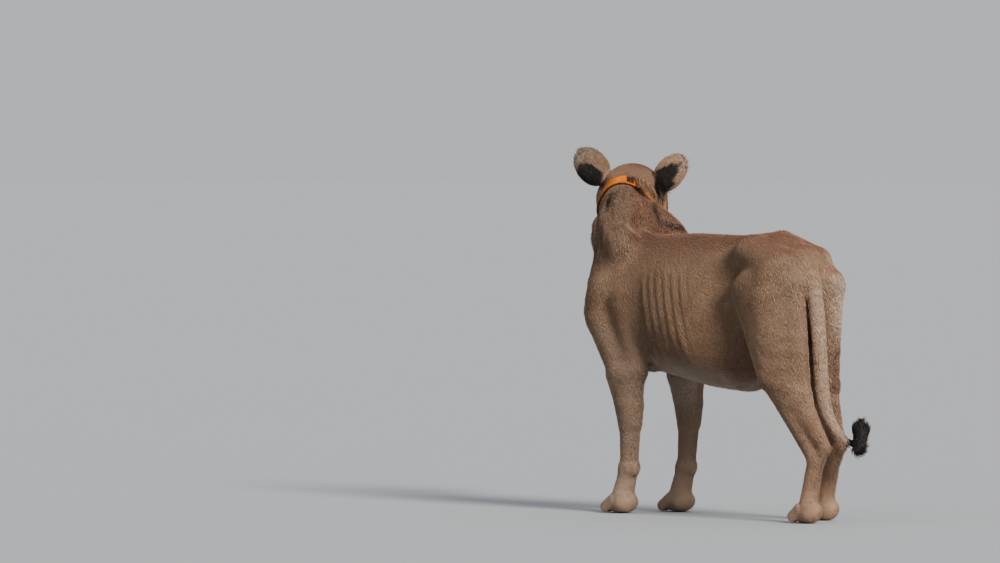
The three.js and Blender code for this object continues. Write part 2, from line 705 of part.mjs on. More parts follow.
// What is bolted onto the strap has its inner side shaped to the strap.
const fitted = (shape) => {
  const outside = collar.thickness - collar.sink + 2 * gap;
  const bare = shape.subtract(band(-60, outside, 90)).subtract(band(-collar.sink, outside, collar.width));
  return largest(bare);
};

function housing(extra = 0) {
  const { width, depth, height, corner } = collar.housing;
  const box = new RoundedBoxGeometry(width + 2 * extra, height + 2 * extra, depth + 2 * extra, 1, corner);
  return solid(onStrap(box, Math.PI, strapOutside(Math.PI) + depth / 2));
}

function plate() {
  const { angle, width, height, thickness, bolt } = collar.plate;
  const foot = strapOutside(angle);
  const slab = new THREE.BoxGeometry(width, height, thickness);
  const parts = [solid(onStrap(slab, angle, foot + thickness / 2))];
  for (const step of [-1, 1]) {
    const head = new THREE.CylinderGeometry(bolt, bolt, bolt, 8);
    head.rotateX(Math.PI / 2);
    head.translate(0, step * height * 0.27, 0);
    parts.push(solid(onStrap(head, angle, foot + thickness + bolt / 2 - 1)));
  }
  return parts.reduce((all, next) => all.add(next));
}

const strap = band(-collar.sink, collar.thickness - collar.sink, collar.width);
const strapRoom = band(-collar.sink - gap, 40, collar.width + 2 * gap);

// ---------------------------------------------------------------- the whole animal
const finishes = {
  back: { color: 0xa8815a, roughness: 0.9 },
  side: { color: 0xb8936a, roughness: 0.9 },
  leg: { color: 0xbf9d77, roughness: 0.9 },
  ear: { color: 0x6e5840, roughness: 0.9 },
  tuft: { color: 0x2b211b, roughness: 0.95 },
  eye: { color: 0xb07a22, roughness: 0.1 },
  leather: { color: 0xc8802c, roughness: 0.65 },
  housing: { color: 0x8a5a26, roughness: 0.5 },
  steel: { color: 0x9a9a98, roughness: 0.4, metalness: 1 },
};

function finishOf(name) {
  if (/^ear/.test(name)) return finishes.ear;
  if (/tuft/.test(name)) return finishes.tuft;
  if (/paw|forearm|shank/.test(name)) return finishes.leg;
  if (/rump|tail|thigh/.test(name)) return finishes.back;
  return finishes.side;
}

function piece(name, shape, finish) {
  const { vertProperties, triVerts } = shape.getMesh();
  const geometry = new THREE.BufferGeometry();
  geometry.setAttribute("position", new THREE.BufferAttribute(vertProperties, 3));
  geometry.setIndex(new THREE.BufferAttribute(triVerts, 1));
  geometry.computeVertexNormals();
  const mesh = new THREE.Mesh(geometry, new THREE.MeshStandardMaterial({ metalness: 0, ...finish }));
  mesh.name = name;
  return mesh;
}

const lioness = new THREE.Group();
const housingRoom = housing(2 * gap);
const fleshOf = ({ field = bodyField, box, cell, evenings }) =>
  solid(netGeometry(field, ...box, cell, evenings));
for (const [name, whole] of part(zones, fleshOf)) {
  const rooms = [];
  if (name === "head") rooms.push(...eyes.map((eye) => eye.room));
  if (/head|neck/.test(name)) rooms.push(strapRoom, housingRoom);
  if (/rump|thigh|shank/.test(name)) rooms.push(tailRoom);
  const shape = rooms.reduce((rest, room) => rest.subtract(room), whole);
  lioness.add(piece(name, largest(shape), finishOf(name)));
}
for (const [name, shape] of part(tailZones, () => tailWhole)) {
  lioness.add(piece(name, shape, finishOf(name)));
}
for (const { name, shape } of eyes) lioness.add(piece(name, shape, finishes.eye));
lioness.add(piece("collar_strap", strap, finishes.leather));
lioness.add(piece("collar_housing", fitted(housing()), finishes.housing));
lioness.add(piece("collar_plate", fitted(plate()), finishes.steel));

// the origin lies on the ground under the middle of the animal's box
const middle = new THREE.Box3().setFromObject(lioness).getCenter(new THREE.Vector3());
lioness.position.set(-middle.x, -middle.y, 0);

export default lioness;
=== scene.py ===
import math
import time

import bmesh
import bpy
import numpy as np
from mathutils import Matrix, Vector


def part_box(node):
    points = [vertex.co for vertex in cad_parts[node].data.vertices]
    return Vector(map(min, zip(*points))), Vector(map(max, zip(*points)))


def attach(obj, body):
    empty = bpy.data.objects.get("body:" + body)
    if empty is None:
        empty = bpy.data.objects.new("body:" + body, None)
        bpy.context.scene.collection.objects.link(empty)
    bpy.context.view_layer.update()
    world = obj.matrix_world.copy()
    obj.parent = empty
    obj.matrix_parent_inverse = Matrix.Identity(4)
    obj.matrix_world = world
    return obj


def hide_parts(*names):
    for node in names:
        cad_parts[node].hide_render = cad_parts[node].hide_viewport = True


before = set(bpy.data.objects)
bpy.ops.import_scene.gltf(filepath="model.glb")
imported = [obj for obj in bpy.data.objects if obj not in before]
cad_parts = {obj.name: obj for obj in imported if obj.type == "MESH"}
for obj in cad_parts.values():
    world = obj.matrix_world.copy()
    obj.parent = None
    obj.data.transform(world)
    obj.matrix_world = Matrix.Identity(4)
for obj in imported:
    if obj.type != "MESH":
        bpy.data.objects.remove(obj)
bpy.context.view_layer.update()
started = time.time()
mm = 0.001  # the animal is sculpted in millimetres, and its meshes are made in metres


def say(text):
    print(f"[{time.time() - started:6.1f} s] {text}")


# vectors
def vec(*numbers):
    return np.array(numbers, float)


def unit(v):
    v = np.asarray(v, float)
    return v / np.linalg.norm(v)


def onSide(place, side):
    return np.asarray(place, float) * (side, 1, 1)


def between(a, b, t):
    return np.asarray(a, float) + (np.asarray(b, float) - a) * t


def lengths(v, keep=False):
    return np.linalg.norm(v, axis=1, keepdims=keep)


# rises smoothly from 0 to 1 between two values
def ramp(value, low, high):
    t = np.clip((value - low) / (high - low), 0, 1)
    return t * t * (3 - 2 * t)


# falls smoothly from 1 to 0
def fade(value, low, high):
    return 1 - ramp(value, low, high)


# flesh as signed distances to eggs and tapered muscles; a shape is (distance, middle, reach)
def eggDistance(u, v, w, ru, rv, rw):
    k0 = np.sqrt((u / ru) ** 2 + (v / rv) ** 2 + (w / rw) ** 2)
    k1 = np.sqrt((u / ru**2) ** 2 + (v / rv**2) ** 2 + (w / rw**2) ** 2)
    return k0 * (k0 - 1) / np.maximum(k1, 1e-9)


def muscle(start, end, startSize, endSize, side=(1, 0, 0)):
    start, end = np.asarray(start, float), np.asarray(end, float)
    run = end - start
    length = np.linalg.norm(run)
    axis = run / length
    across = unit(np.asarray(side, float) - axis * np.dot(side, axis))
    depthWay = np.cross(axis, across)

    def distance(p):
        q = p - start
        along = q @ axis
        t = np.clip(along / length, 0, 1)
        rv = startSize[0] + (endSize[0] - startSize[0]) * t
        rw = startSize[1] + (endSize[1] - startSize[1]) * t
        return eggDistance(along - t * length, q @ across, q @ depthWay, np.minimum(rv, rw), rv, rw)

    return distance, (start + end) / 2, length / 2 + max(*startSize, *endSize)


def lump(centre, radii, axes=np.eye(3)):
    centre = np.asarray(centre, float)

    def distance(p):
        q = (p - centre) @ np.asarray(axes).T
        return eggDistance(q[:, 0], q[:, 1], q[:, 2], *radii)

    return distance, centre, max(radii)


# a groove that runs through places with its own radius at each
def strand(places, radii, blend):
    steps = zip(places[:-1], places[1:], radii[:-1], radii[1:])
    return [(muscle(a, b, [r, r], [s, s]), blend, True) for a, b, r, s in steps]


def loft(sections, cap):
    rows = np.array(sections, float)
    ys = rows[:, 0]

    def distance(p):
        y = np.clip(p[:, 1], ys[0], ys[-1])
        i = np.clip(np.searchsorted(ys, y, side="left") - 1, 0, len(ys) - 2)
        a, b, c, d = (rows[np.clip(i + n, 0, len(ys) - 1), 1:] for n in (-1, 0, 1, 2))
        t = ((y - ys[i]) / (ys[i + 1] - ys[i]))[:, None]
        curve = b + 0.5 * t * (c - a + t * (2 * a - 5 * b + 4 * c - d + t * (3 * (b - c) + d - a)))
        top, bottom, half, middle = curve.T
        rise = p[:, 2] - middle
        height = np.where(rise > 0, top - middle, middle - bottom)
        return eggDistance(p[:, 1] - y, p[:, 0], rise, cap, half, height)

    return distance, None, 0


def join(a, b, blend):
    h = np.maximum(blend - np.abs(a - b), 0) / blend
    return np.minimum(a, b) - h**3 * blend / 6


def press(a, b, blend):
    return -join(-a, b, blend)


def slopeOf(field, p, h=0.6):
    slope = np.empty_like(p)
    for n in range(3):
        step = np.zeros(3)
        step[n] = h
        slope[:, n] = (field(p + step) - field(p - step)) / (2 * h)
    return slope


# moves points onto a surface, each no further than the limit
def drawnOnto(field, p, steps, limit):
    q = p.copy()
    for _ in range(steps):
        slope = slopeOf(field, q)
        q -= slope * (field(q) / np.maximum((slope**2).sum(1), 0.25))[:, None]
    move = q - p
    far = lengths(move, True)
    return p + move * np.minimum(1, limit / np.maximum(far, 1e-9))


# each part is (shape, blend) or (shape, blend, True) for a hollow; they run together in turn
def fleshDistance(parts, points, start=None):
    d = np.full(len(points), 1e4) if start is None else start.copy()
    for (shape, middle, reach), blend, *hollow in parts:
        near = np.ones(len(points), bool)
        if middle is not None:
            near = lengths(points - middle) - reach < np.abs(d) + blend
        if near.any():
            d[near] = (press if hollow else join)(d[near], shape(points[near]), blend)
    return d


# skeleton, in millimetres, the muzzle towards -Y and the left side towards +X
skeleton = dict(
    shoulderJoint=(114, -360, 640), hipJoint=(94, 438, 742),
    humerus=262, radius=292, femur=294, tibia=318,
    withers=(0, -290, 880), neckBase=vec(-14, -342, 772), neckMiddle=vec(-50, -425, 882),
    neckTop=vec(-94, -516, 985), neckSide=unit([0.84, -0.54, 0]),
)
stance = dict(foreLeft=vec(100, -228, 152), foreRight=vec(-104, -186, 152),
              hindLeft=vec(92, 706, 205), hindRight=vec(-86, 575, 205))
headPose = dict(eyeLine=(-262, -623, 1048), turn=-56, nod=0, tilt=-4)
eyeSize = dict(radius=18, spread=45, depth=-6)

# the rear left quarter, and the way along a plane that faces it
rearLeft, alongRear = vec(0.629, 0.777, 0), vec(-0.777, 0.629, 0)

trunkSections = [  # y, top, bottom, half width, height of the widest place
    (-390, 830, 535, 110, 690), (-300, 898, 472, 134, 670), (-150, 908, 455, 154, 650),
    (0, 912, 432, 168, 625), (120, 910, 414, 168, 600), (230, 908, 407, 142, 600),
    (330, 914, 425, 112, 660), (430, 918, 540, 108, 750), (530, 884, 640, 84, 770),
]


def middleJoint(upper, lower, upperBone, lowerBone, bend, outward):
    line = np.asarray(lower, float) - upper
    reach = np.linalg.norm(line)
    along = (upperBone**2 - lowerBone**2 + reach**2) / (2 * reach)
    off = math.sqrt(max(upperBone**2 - along**2, 0))
    way = unit(line)
    away = unit(vec(0, bend, 0) - way * way[1] * bend)
    return upper + way * along + away * off + vec(outward, 0, 0)


def trunkFlesh():
    return [
        (loft(trunkSections, 60), 1),
        (muscle([0, -405, 640], [0, -240, 520], [92, 70], [84, 52]), 50),  # breast
        (muscle([0, 250, 452], [0, 330, 462], [72, 44], [56, 36]), 30),  # udder
        (muscle([-4, -330, 850], [0, -180, 860], [58, 32], [40, 24]), 40),  # withers
    ]


def neckFlesh():
    base, middle, top, side = (skeleton[key] for key in ("neckBase", "neckMiddle", "neckTop", "neckSide"))
    nape = between(middle, top, 0.3)
    withers = skeleton["withers"]
    parts = [
        (muscle(base, middle, [146, 142], [104, 116], side), 60),
        (muscle(middle, top, [104, 116], [74, 94], side), 50),
        (muscle(middle + (24, 60, 50), top + (8, 12, 66), [54, 56], [44, 40], side), 40),
        (muscle([-126, -424, 970], [-98, -264, 900], [51, 50], [50, 46], side), 60),  # folded by the turn
    ]
    for s in (1, -1):
        shrug = vec(0, 0, 0) if s > 0 else vec(0, 34, 18)  # of the right blade
        blade = vec(86 * s, withers[1] + 14, withers[2] - 18) + shrug
        point = onSide(skeleton["shoulderJoint"], s) + (-4 * s, 4, 60)
        parts.append((muscle(nape + side * 60 * s, blade, [46, 62], [50, 64], side), 55))
        parts.append((muscle(nape + (0, 0, -70), point, [50, 70], [50, 70], side), 55))
    return parts


def pawFlesh(knuckles, half, reach):
    x, y = knuckles[:2]
    toes = []
    for step in (-1.5, -0.5, 0.5, 1.5):
        root = [x + step * half * 0.46, y - 8, 44]
        tip = [x + step * half * 0.56, y - reach + (16 if abs(step) > 1 else 0), 19]
        toes.append((muscle(root, tip, [half * 0.37, 24], [half * 0.33, 20]), 8))
    return [
        (muscle([x, y + 12, 36], [x, y - 18, 33], [half, 36], [half, 34]), 20),
        (lump([x, y - 8, 18], [half * 0.62, 30, 21]), 8),  # main pad
        *toes,
    ]


def forelegJoints(side):
    wrist = stance["foreLeft" if side > 0 else "foreRight"]
    shoulder = onSide(skeleton["shoulderJoint"], side)
    elbow = middleJoint(shoulder, wrist, skeleton["humerus"], skeleton["radius"], 1, side * 16)
    return shoulder, elbow, wrist


def forelegFlesh(side):
    shoulder, elbow, wrist = forelegJoints(side)
    withers = skeleton["withers"]
    bladeTop = vec(side * 82, withers[1] + 8, withers[2] - (30 if side > 0 else 14))
    knuckles = wrist + (0, -32, -92)
    return [
        (muscle(bladeTop, shoulder, [38, 84], [42, 76]), 45),  # blade
        (muscle(bladeTop + (side * 26, 40, -150), elbow + (0, 36, 26), [42, 78], [34, 44]), 45),
        (muscle(shoulder + (side * 2, 6, -8), elbow + (0, -22, 0), [44, 66], [44, 66]), 45),
        (muscle(elbow + (0, -26, 8), between(elbow, wrist, 0.5), [50, 86], [36, 48]), 35),
        (muscle(between(elbow, wrist, 0.3), wrist, [38, 52], [29, 31]), 25),
        (lump(wrist + (0, 0, -4), [34, 35, 32]), 18),  # wrist
        (lump(wrist + (0, 30, -12), [14, 15, 17]), 16),  # wrist pad
        (muscle(wrist, knuckles, [32, 30], [42, 30]), 22),
        *pawFlesh(knuckles, 48, 62),
    ]


def hindlegJoints(side):
    hock = stance["hindLeft" if side > 0 else "hindRight"]
    hip = onSide(skeleton["hipJoint"], side)
    knee = middleJoint(hip, hock, skeleton["femur"], skeleton["tibia"], -1, side * 10)
    return hip, knee, hock


def hindlegFlesh(side):
    hip, knee, hock = hindlegJoints(side)
    heel = hock + (0, 44, 34)
    seat = vec(64, 532, 738) if side > 0 else vec(-76, 554, 744)
    knuckles = hock + (0, -38, -147)
    hamstring = between(knee, heel, 0.4) + (-8, 16, 16) if side > 0 else heel + (-2, -74, 190)
    hips, wide = ([82, 502, 790], [64, 86]) if side > 0 else ([-76, 490, 800], [58, 76])
    lift = 0 if side > 0 else 14  # of the loaded hip
    inner = between(knee, hamstring, 0.5)
    return [
        (muscle([side * 60, 350, 846 + lift], hips, [54, 66], wide), 45),
        (lump([side * 86, 338, 862], [20, 36, 22]), 40),  # hip bone
        (muscle(hip, knee, [64, 122], [44, 62]), 50),  # thigh
        (muscle(vec(*hips), seat, [wide[0] - 8, 66], [53, 66]), 45),
        (muscle(seat, hamstring, [53, 66], [33, 50]), 45),  # hamstrings
        (muscle(hamstring, heel, [30, 46], [14, 20]), 40),  # tendon
        (muscle(hip + (side * 10, 50, -40), inner, [54, 74], [36, 58]), 45),
        (muscle(hip + (side * 12, -56, 0), knee + (0, -24, 16), [44, 62], [34, 38]), 40),
        (muscle(knee, hock, [40, 56], [27, 32]), 30),  # shank
        (muscle(knee + (0, 70, -24), heel, [34, 50], [14, 18]), 30),  # calf
        (muscle(hock, heel, [26, 30], [16, 20]), 18),
        (muscle(hock, knuckles, [26, 29], [34, 25]), 20),
        *pawFlesh(knuckles, 42, 56),
    ]


tailShape = dict(
    route=[(0, 498, 838), (6, 552, 812), (14, 592, 766), (22, 618, 700), (26, 636, 620), (28, 646, 540),
           (26, 651, 460), (20, 656, 385), (10, 676, 325), (-4, 712, 275), (-18, 748, 250),
           (-30, 770, 266), (-33, 776, 304)],
    root=38, half=27, tip=13, steps=26,
)


# a smooth curve through the tail's places, evened out by its length
def tailCurve():
    route = np.array(tailShape["route"], float)
    route = np.vstack([2 * route[0] - route[1], route, 2 * route[-1] - route[-2]])
    places = []
    for a, b, c, d in zip(route, route[1:], route[2:], route[3:]):
        u, v, w = (math.sqrt(np.linalg.norm(q - p)) for p, q in ((a, b), (b, c), (c, d)))
        leave = v * ((b - a) / u - (c - a) / (u + v) + (c - b) / v)
        arrive = v * ((c - b) / v - (d - b) / (v + w) + (d - c) / w)
        for t in np.linspace(0, 1, 24, endpoint=False):
            bow = t * t * (-3 * b + 3 * c - 2 * leave - arrive) + t**3 * (2 * b - 2 * c + leave + arrive)
            places.append(b + t * leave + bow)
    places = np.array(places + [route[-2]])
    run = np.concatenate([[0], np.cumsum(lengths(np.diff(places, axis=0)))])
    return lambda share: vec(*(np.interp(share * run[-1], run, places[:, n]) for n in range(3)))


tailAt = tailCurve()


def tailFlesh():
    steps, half = tailShape["steps"], tailShape["half"]

    def thick(i):
        sizes = [tailShape["root"], half, half - 2, tailShape["tip"]]
        return float(np.interp(i / steps, [0, 0.2, 0.68, 0.88], sizes))

    parts = []
    for i in range(steps):
        a, b = thick(i), thick(i + 1)
        piece = muscle(tailAt(i / steps), tailAt((i + 1) / steps), [a, a], [b, b])
        parts.append((piece, 40 if i < 3 else 6))
    tip = tailAt(0.97)
    parts.append((muscle(tip + (6, -4, -46), tip + (0, 0, 4), [20, 22], [28, 28]), 14))
    return parts


headTurned = Matrix.Identity(3)
for key, turnAxis in (("turn", "Z"), ("nod", "X"), ("tilt", "Y")):
    headTurned @= Matrix.Rotation(math.radians(headPose[key]), 3, turnAxis)
headAxes = np.array(headTurned)


def onHead(p):
    return headAxes @ np.asarray(p, float) + headPose["eyeLine"]


def intoHead(points):
    return (points - headPose["eyeLine"]) @ headAxes


def pair(make):
    return [make(1), make(-1)]


def headFlesh():
    return [
        (lump([0, 96, 8], [90, 106, 78]), 1),  # cranium
        (muscle([0, 18, -12], [0, 80, 6], [66, 50], [86, 68]), 40),  # forehead
        (muscle([0, 14, -8], [0, -90, -40], [41, 40], [38, 31]), 30),  # bridge
        *pair(lambda s: (lump([s * 44, 6, 20], [30, 24, 12]), 28)),  # brows
        (muscle([0, 24, -60], [0, -66, -74], [82, 66], [60, 50]), 34),  # muzzle
        *pair(lambda s: (lump([s * 33, -82, -79], [37, 44, 35]), 10)),  # whisker pads
        (lump([0, -112, -47], [30, 19, 21]), 10),  # nose
        *pair(lambda s: (muscle([s * 68, 26, -26], [s * 90, 88, -28], [28, 34], [30, 50]), 34)),
        *pair(lambda s: (lump([s * 64, 72, -60], [48, 60, 58]), 40)),  # jowls
        (muscle([0, 50, -100], [0, -58, -110], [70, 46], [46, 34]), 30),  # jaw
        (lump([0, -84, -114], [36, 31, 31]), 14),  # chin
        (muscle([0, 84, -80], [0, 160, -62], [78, 76], [80, 82]), 50),  # throat
        *pair(lambda s: (lump([s * 49, -38, 0], [22, 18, 14]), 14, True)),  # eye hollows
    ]


# how deep the skin lies under the tips of the coat, by place
coatDepth = dict(body=6, head=2.6, muzzle=1.2, ear=1.6, feet=2.5, tail=4, tuft=7)

# what only the skin shows: lids, tear lines, nostrils and the closed mouth
lids = dict(thickness=3.2, width=18.5, height=10.5, slant=0.16)


def eyeCentre(side):
    return vec(side * eyeSize["spread"], eyeSize["depth"], 0)


def eyeFrame(side):
    gaze = unit([side * 0.36, -0.93, 0.02])
    across = unit(np.cross(gaze, [0, 0, 1])) * -side
    across = unit(across + vec(0, 0, lids["slant"]))  # outer corner higher
    return gaze, across, np.cross(across, gaze) * side


mouthLine = [(0, -128, -96), (14, -124, -104), (34, -106, -108), (50, -76, -108), (60, -44, -104),
             (64, -24, -97)]


# places near the face drawn onto its skin
def onFace(places):
    head = headFlesh()
    field = lambda p: fleshDistance(head, p) + coatDepth["muzzle"]
    return list(drawnOnto(field, np.array(places, float), 6, 30))


def faceFolds():
    folds = []
    ball = eyeSize["radius"]
    for side in (1, -1):
        eye = eyeCentre(side)
        gaze, across, up = eyeFrame(side)
        folds.append((lump(eye, [ball + lids["thickness"]] * 3), 10))
        brow = eye + gaze * 12 + up * 17
        folds.append((muscle(brow - across * 14, brow + across * 10, [7, 5], [6, 4]), 14))
        slit = lump(eye + gaze * (ball + 2), [lids["width"], 14, lids["height"]], [across, gaze, up])
        folds.append((slit, 3, True))
        folds.append((lump(eye, [ball - 1.6] * 3), 1.5))  # under the eyeball
        corner = eye + gaze * 13 - across * 17 - up * 3
        folds += strand(onFace([corner, corner + (-side * 5, -8, -9), (side * 26, -46, -26)]), [3, 2.6, 1], 6)
        nostril = [(side * 9, -128, -44), (side * 20, -124, -48), (side * 29, -114, -58)]
        folds += strand(onFace(nostril), [4, 6, 2], 4)
        folds += strand(onFace([onSide(place, side) for place in mouthLine]), [3, 3.6, 4, 4, 3.4, 2], 8)
    folds += strand(onFace([(0, -130, -62), (0, -128, -80), (0, -128, -96)]), [2, 2.6, 3], 4)
    return folds


earSize = dict(base=(94, 112, 22), axis=unit([0.68, 0.1, 0.73]), height=128)


def earAxes(side):
    axis = onSide(earSize["axis"], side)
    facing = unit(np.cross(np.cross(axis, onSide([0.5, -0.86, 0.1], side)), axis))
    return np.cross(facing, axis), facing, axis


def earFlesh(side, forward, cupRadii):
    across, facing, axis = earAxes(side)
    middle = onSide(earSize["base"], side) + axis * earSize["height"] * 0.46
    outside = lump(middle, [54, 32, 70], [across, facing, axis])[0]
    cup = lump(middle + facing * forward + axis * 5, cupRadii, [across, facing, axis])[0]

    def distance(p):
        q = intoHead(p)
        return press(outside(q), cup(q), 10)

    return distance, onHead(middle), 80


def inHeadSpace(parts):
    return lambda p: fleshDistance(parts, intoHead(p))


headShape = (inHeadSpace(headFlesh()), onHead([0, 30, -40]), 240)
bodyParts = [
    *trunkFlesh(), *forelegFlesh(1), *forelegFlesh(-1), *hindlegFlesh(1), *hindlegFlesh(-1), *neckFlesh(),
    (headShape, 50),
]
thickEars = pair(lambda side: (earFlesh(side, 24, [42, 34, 58]), 16))  # for the net, which needs walls
thinEars = pair(lambda side: (earFlesh(side, 27, [46, 46, 62]), 16))
foldParts = faceFolds()
tailParts = tailFlesh()
groups = {
    "trunk": trunkFlesh(), "neck": neckFlesh(), "head": [(headShape, 1)],
    "foreLeft": forelegFlesh(1), "foreRight": forelegFlesh(-1),
    "hindLeft": hindlegFlesh(1), "hindRight": hindlegFlesh(-1),
    "earLeft": [thinEars[0]], "earRight": [thinEars[1]], "tail": tailParts,
}


def depthAt(p):
    depth = np.full(len(p), float(coatDepth["body"]))
    q = intoHead(p)
    face = fade(lengths(q - (0, 40, -40)), 130, 190)
    depth += (coatDepth["head"] - depth) * face
    depth += (coatDepth["muzzle"] - depth) * fade(q[:, 1], -40, 20) * face
    for side in (1, -1):
        ear = onSide(earSize["base"], side) + onSide(earSize["axis"], side) * 66
        depth += (coatDepth["ear"] - depth) * fade(lengths(q - ear), 58, 84)
    depth += (coatDepth["feet"] - depth) * fade(p[:, 2], 110, 300)
    onTail = ramp(p[:, 1], 560, 610) * ramp(p[:, 2], 190, 230) * fade(np.abs(p[:, 0] + 8), 40, 60)
    depth += (coatDepth["tail"] - depth) * onTail
    tuft = fade(lengths(p - tailAt(0.95)), 16, 44)
    return depth + (coatDepth["tuft"] - depth) * tuft


def skinDistance(p, ears=thickEars):
    body = fleshDistance(ears, p, fleshDistance(bodyParts, p))
    tail = fleshDistance(tailParts, p)
    d = join(body, tail, 14) + depthAt(p)
    return press(d, p[:, 2] - 0.4, 3)  # soles flat on the ground


# ribs, the hollow before the hip, the fold behind the arm and cords of the neck
def relief(p):
    x, y, z = p.T
    flank = ramp(np.abs(x), 60, 110)
    ribs = np.sin((y + 0.35 * (z - 650)) / 40 * 2 * math.pi + 0.6 * np.sin(z / 60))
    zone = ramp(y, -150, -80) * fade(y, 100, 190) * ramp(z, 500, 570) * fade(z, 730, 840)
    d = -1.9 * ribs * zone * flank
    d += 12 * flank * np.exp(-(((y - 262) / 52) ** 2 + ((z - 730) / 100) ** 2))
    d += 7 * flank * np.exp(-(((y + 92 + 0.25 * (z - 600)) / 18) ** 2 + ((z - 590) / 120) ** 2))
    top, base = skeleton["neckTop"], skeleton["neckBase"]
    along = (p - top) @ unit(base - top)
    neck = ramp(along, 10, 70) * fade(along, 230, 330) * ramp(z, 740, 800)
    around = np.arctan2((p - top) @ skeleton["neckSide"], (p - top) @ unit([0.3, 0.55, 0.78]))
    folds = np.sin(around * 11 + along / 60) + 0.6 * np.sin(around * 19 - along / 45 + 1)
    d += 2.4 * folds * neck
    slanted = np.stack([p @ alongRear, z], 1)
    past, run = ((slanted - (-150, 1002)) @ unit(way) for way in ([0.8, 0.6], [0.6, -0.8]))
    fold = ramp(run, -60, -20) * fade(run, 70, 120)
    behind = ramp(y, -640, -560) * fade(x, 20, 60) * ramp(z, 900, 940)
    d += fold * behind * (5 * np.exp(-((past / 9) ** 2)) - 4 * np.exp(-(((past - 24) / 16) ** 2)))
    wrinkles = np.sin((z + 0.5 * y) / 9 + 2 * np.sin(y / 37))
    wrinkles = wrinkles * ramp(y, 440, 520) * fade(np.abs(z - 500), 60, 130)
    return d + 0.7 * wrinkles * fade(y, 640, 680)


# surface nets on a grid that is fine only near the skin
skinNet = dict(low=vec(-430, -800, -14), high=vec(250, 860, 1260), cell=8.9, blocks=4)
cubeCorners = np.array([(i, j, k) for i in (0, 1) for j in (0, 1) for k in (0, 1)])


# the grid's values at one corner of every cell
def atCorner(grid, corner):
    return grid[tuple(slice(n, n + size - 1) for n, size in zip(corner, grid.shape))]


def gridValues(field, low, counts, cell, blocks):
    coarse = [np.arange(0, n + blocks, blocks) for n in counts]
    nodes = np.stack(np.meshgrid(*coarse, indexing="ij"), -1)
    rough = field(low + nodes.reshape(-1, 3) * cell).reshape(nodes.shape[:3])
    near = np.abs(rough) < blocks * cell * 1.25
    block = np.any([atCorner(near, corner) for corner in cubeCorners], axis=0)
    values = rough[:-1, :-1, :-1]
    for axis in range(3):
        values = np.repeat(values, blocks, axis=axis)
        block = np.repeat(block, blocks, axis=axis)
    spots = np.argwhere(block)
    values[block] = field(low + spots * cell)
    return values


def surfaceNet(values, low, cell):
    for axis in range(3):
        for end in (0, -1):
            side = np.moveaxis(values, axis, 0)[end]
            np.maximum(side, 0.01, out=side)
    inside = values < 0
    shape = np.array(values.shape) - 1
    filled = sum(atCorner(inside, corner).astype(np.int8) for corner in cubeCorners)
    cells = np.argwhere((filled > 0) & (filled < 8))
    at = cells[:, None, :] + cubeCorners[None]
    v = values[at[..., 0], at[..., 1], at[..., 2]]
    total = np.zeros((len(cells), 3))
    hits = np.zeros(len(cells))
    for a in range(8):
        for b in range(a + 1, 8):
            way = cubeCorners[b] - cubeCorners[a]
            if np.abs(way).sum() != 1:
                continue
            crossed = (v[:, a] < 0) != (v[:, b] < 0)
            t = np.where(crossed, v[:, a] / np.where(crossed, v[:, a] - v[:, b], 1), 0)
            total += np.where(crossed[:, None], cubeCorners[a] + t[:, None] * way, 0)
            hits += crossed
    points = low + (cells + total / hits[:, None]) * cell
    number = np.full(tuple(shape), -1, np.int32)
    number[tuple(cells.T)] = np.arange(len(cells))
    quads = []
    one = np.eye(3, dtype=int)
    for axis in range(3):
        u, w = (axis + 1) % 3, (axis + 2) % 3
        ahead = np.roll(inside, -1, axis)
        for outward in (True, False):
            spots = np.argwhere(inside & ~ahead if outward else ~inside & ahead)
            spots = spots[(spots[:, u] > 0) & (spots[:, w] > 0) & (spots[:, axis] < shape[axis])]
            ring = np.stack([number[tuple((spots - du * one[u] - dw * one[w]).T)]
                             for du, dw in ((0, 0), (1, 0), (1, 1), (0, 1))], 1)
            quads.append(ring if outward else ring[:, ::-1])
    return points, np.vstack(quads)


# numbers of a mesh's points, faces or edges as rows
def readRows(items, key, kind=np.float32, width=3):
    flat = np.empty(len(items) * width, kind)
    items.foreach_get(key, flat)
    return flat.reshape(-1, width)


def points3(mesh):
    return readRows(mesh.vertices, "co").astype(float)


def setPoints(mesh, points):
    mesh.vertices.foreach_set("co", np.asarray(points, np.float32).ravel())
    mesh.update()


def linked(name, mesh):
    piece = bpy.data.objects.new(name, mesh)
    bpy.context.scene.collection.objects.link(piece)
    return piece


def meshFrom(name, places, faces):
    mesh = bpy.data.meshes.new(name)
    mesh.from_pydata(np.asarray(places).tolist(), [], faces)
    return mesh


# runs one change on the mesh in Blender's editing form
def edited(mesh, change):
    bm = bmesh.new()
    bm.from_mesh(mesh)
    change(bm)
    bm.to_mesh(mesh)
    bm.free()


def shadeSmooth(mesh):
    mesh.polygons.foreach_set("use_smooth", np.ones(len(mesh.polygons), bool))


# a smooth mesh whose faces all point outwards
def closedMesh(name, places, faces):
    mesh = meshFrom(name, places, faces)
    edited(mesh, lambda bm: bmesh.ops.recalc_face_normals(bm, faces=bm.faces))
    shadeSmooth(mesh)
    return mesh


# faces between rings of places that follow each other in a list
def bands(rings, turns, first=0):
    return [(a + n, a + (n + 1) % turns, a + turns + (n + 1) % turns, a + turns + n)
            for a in range(first, first + (rings - 1) * turns, turns) for n in range(turns)]


# the same with one place before the rings and one after them
def capped(rings, turns):
    faces = bands(rings, turns, 1)
    for end, start in ((0, 1), (1 + rings * turns, 1 + (rings - 1) * turns)):
        faces += [(end, start + n, start + (n + 1) % turns) for n in range(turns)]
    return faces


def circle(turns):
    return [(math.cos(2 * math.pi * n / turns), math.sin(2 * math.pi * n / turns)) for n in range(turns)]


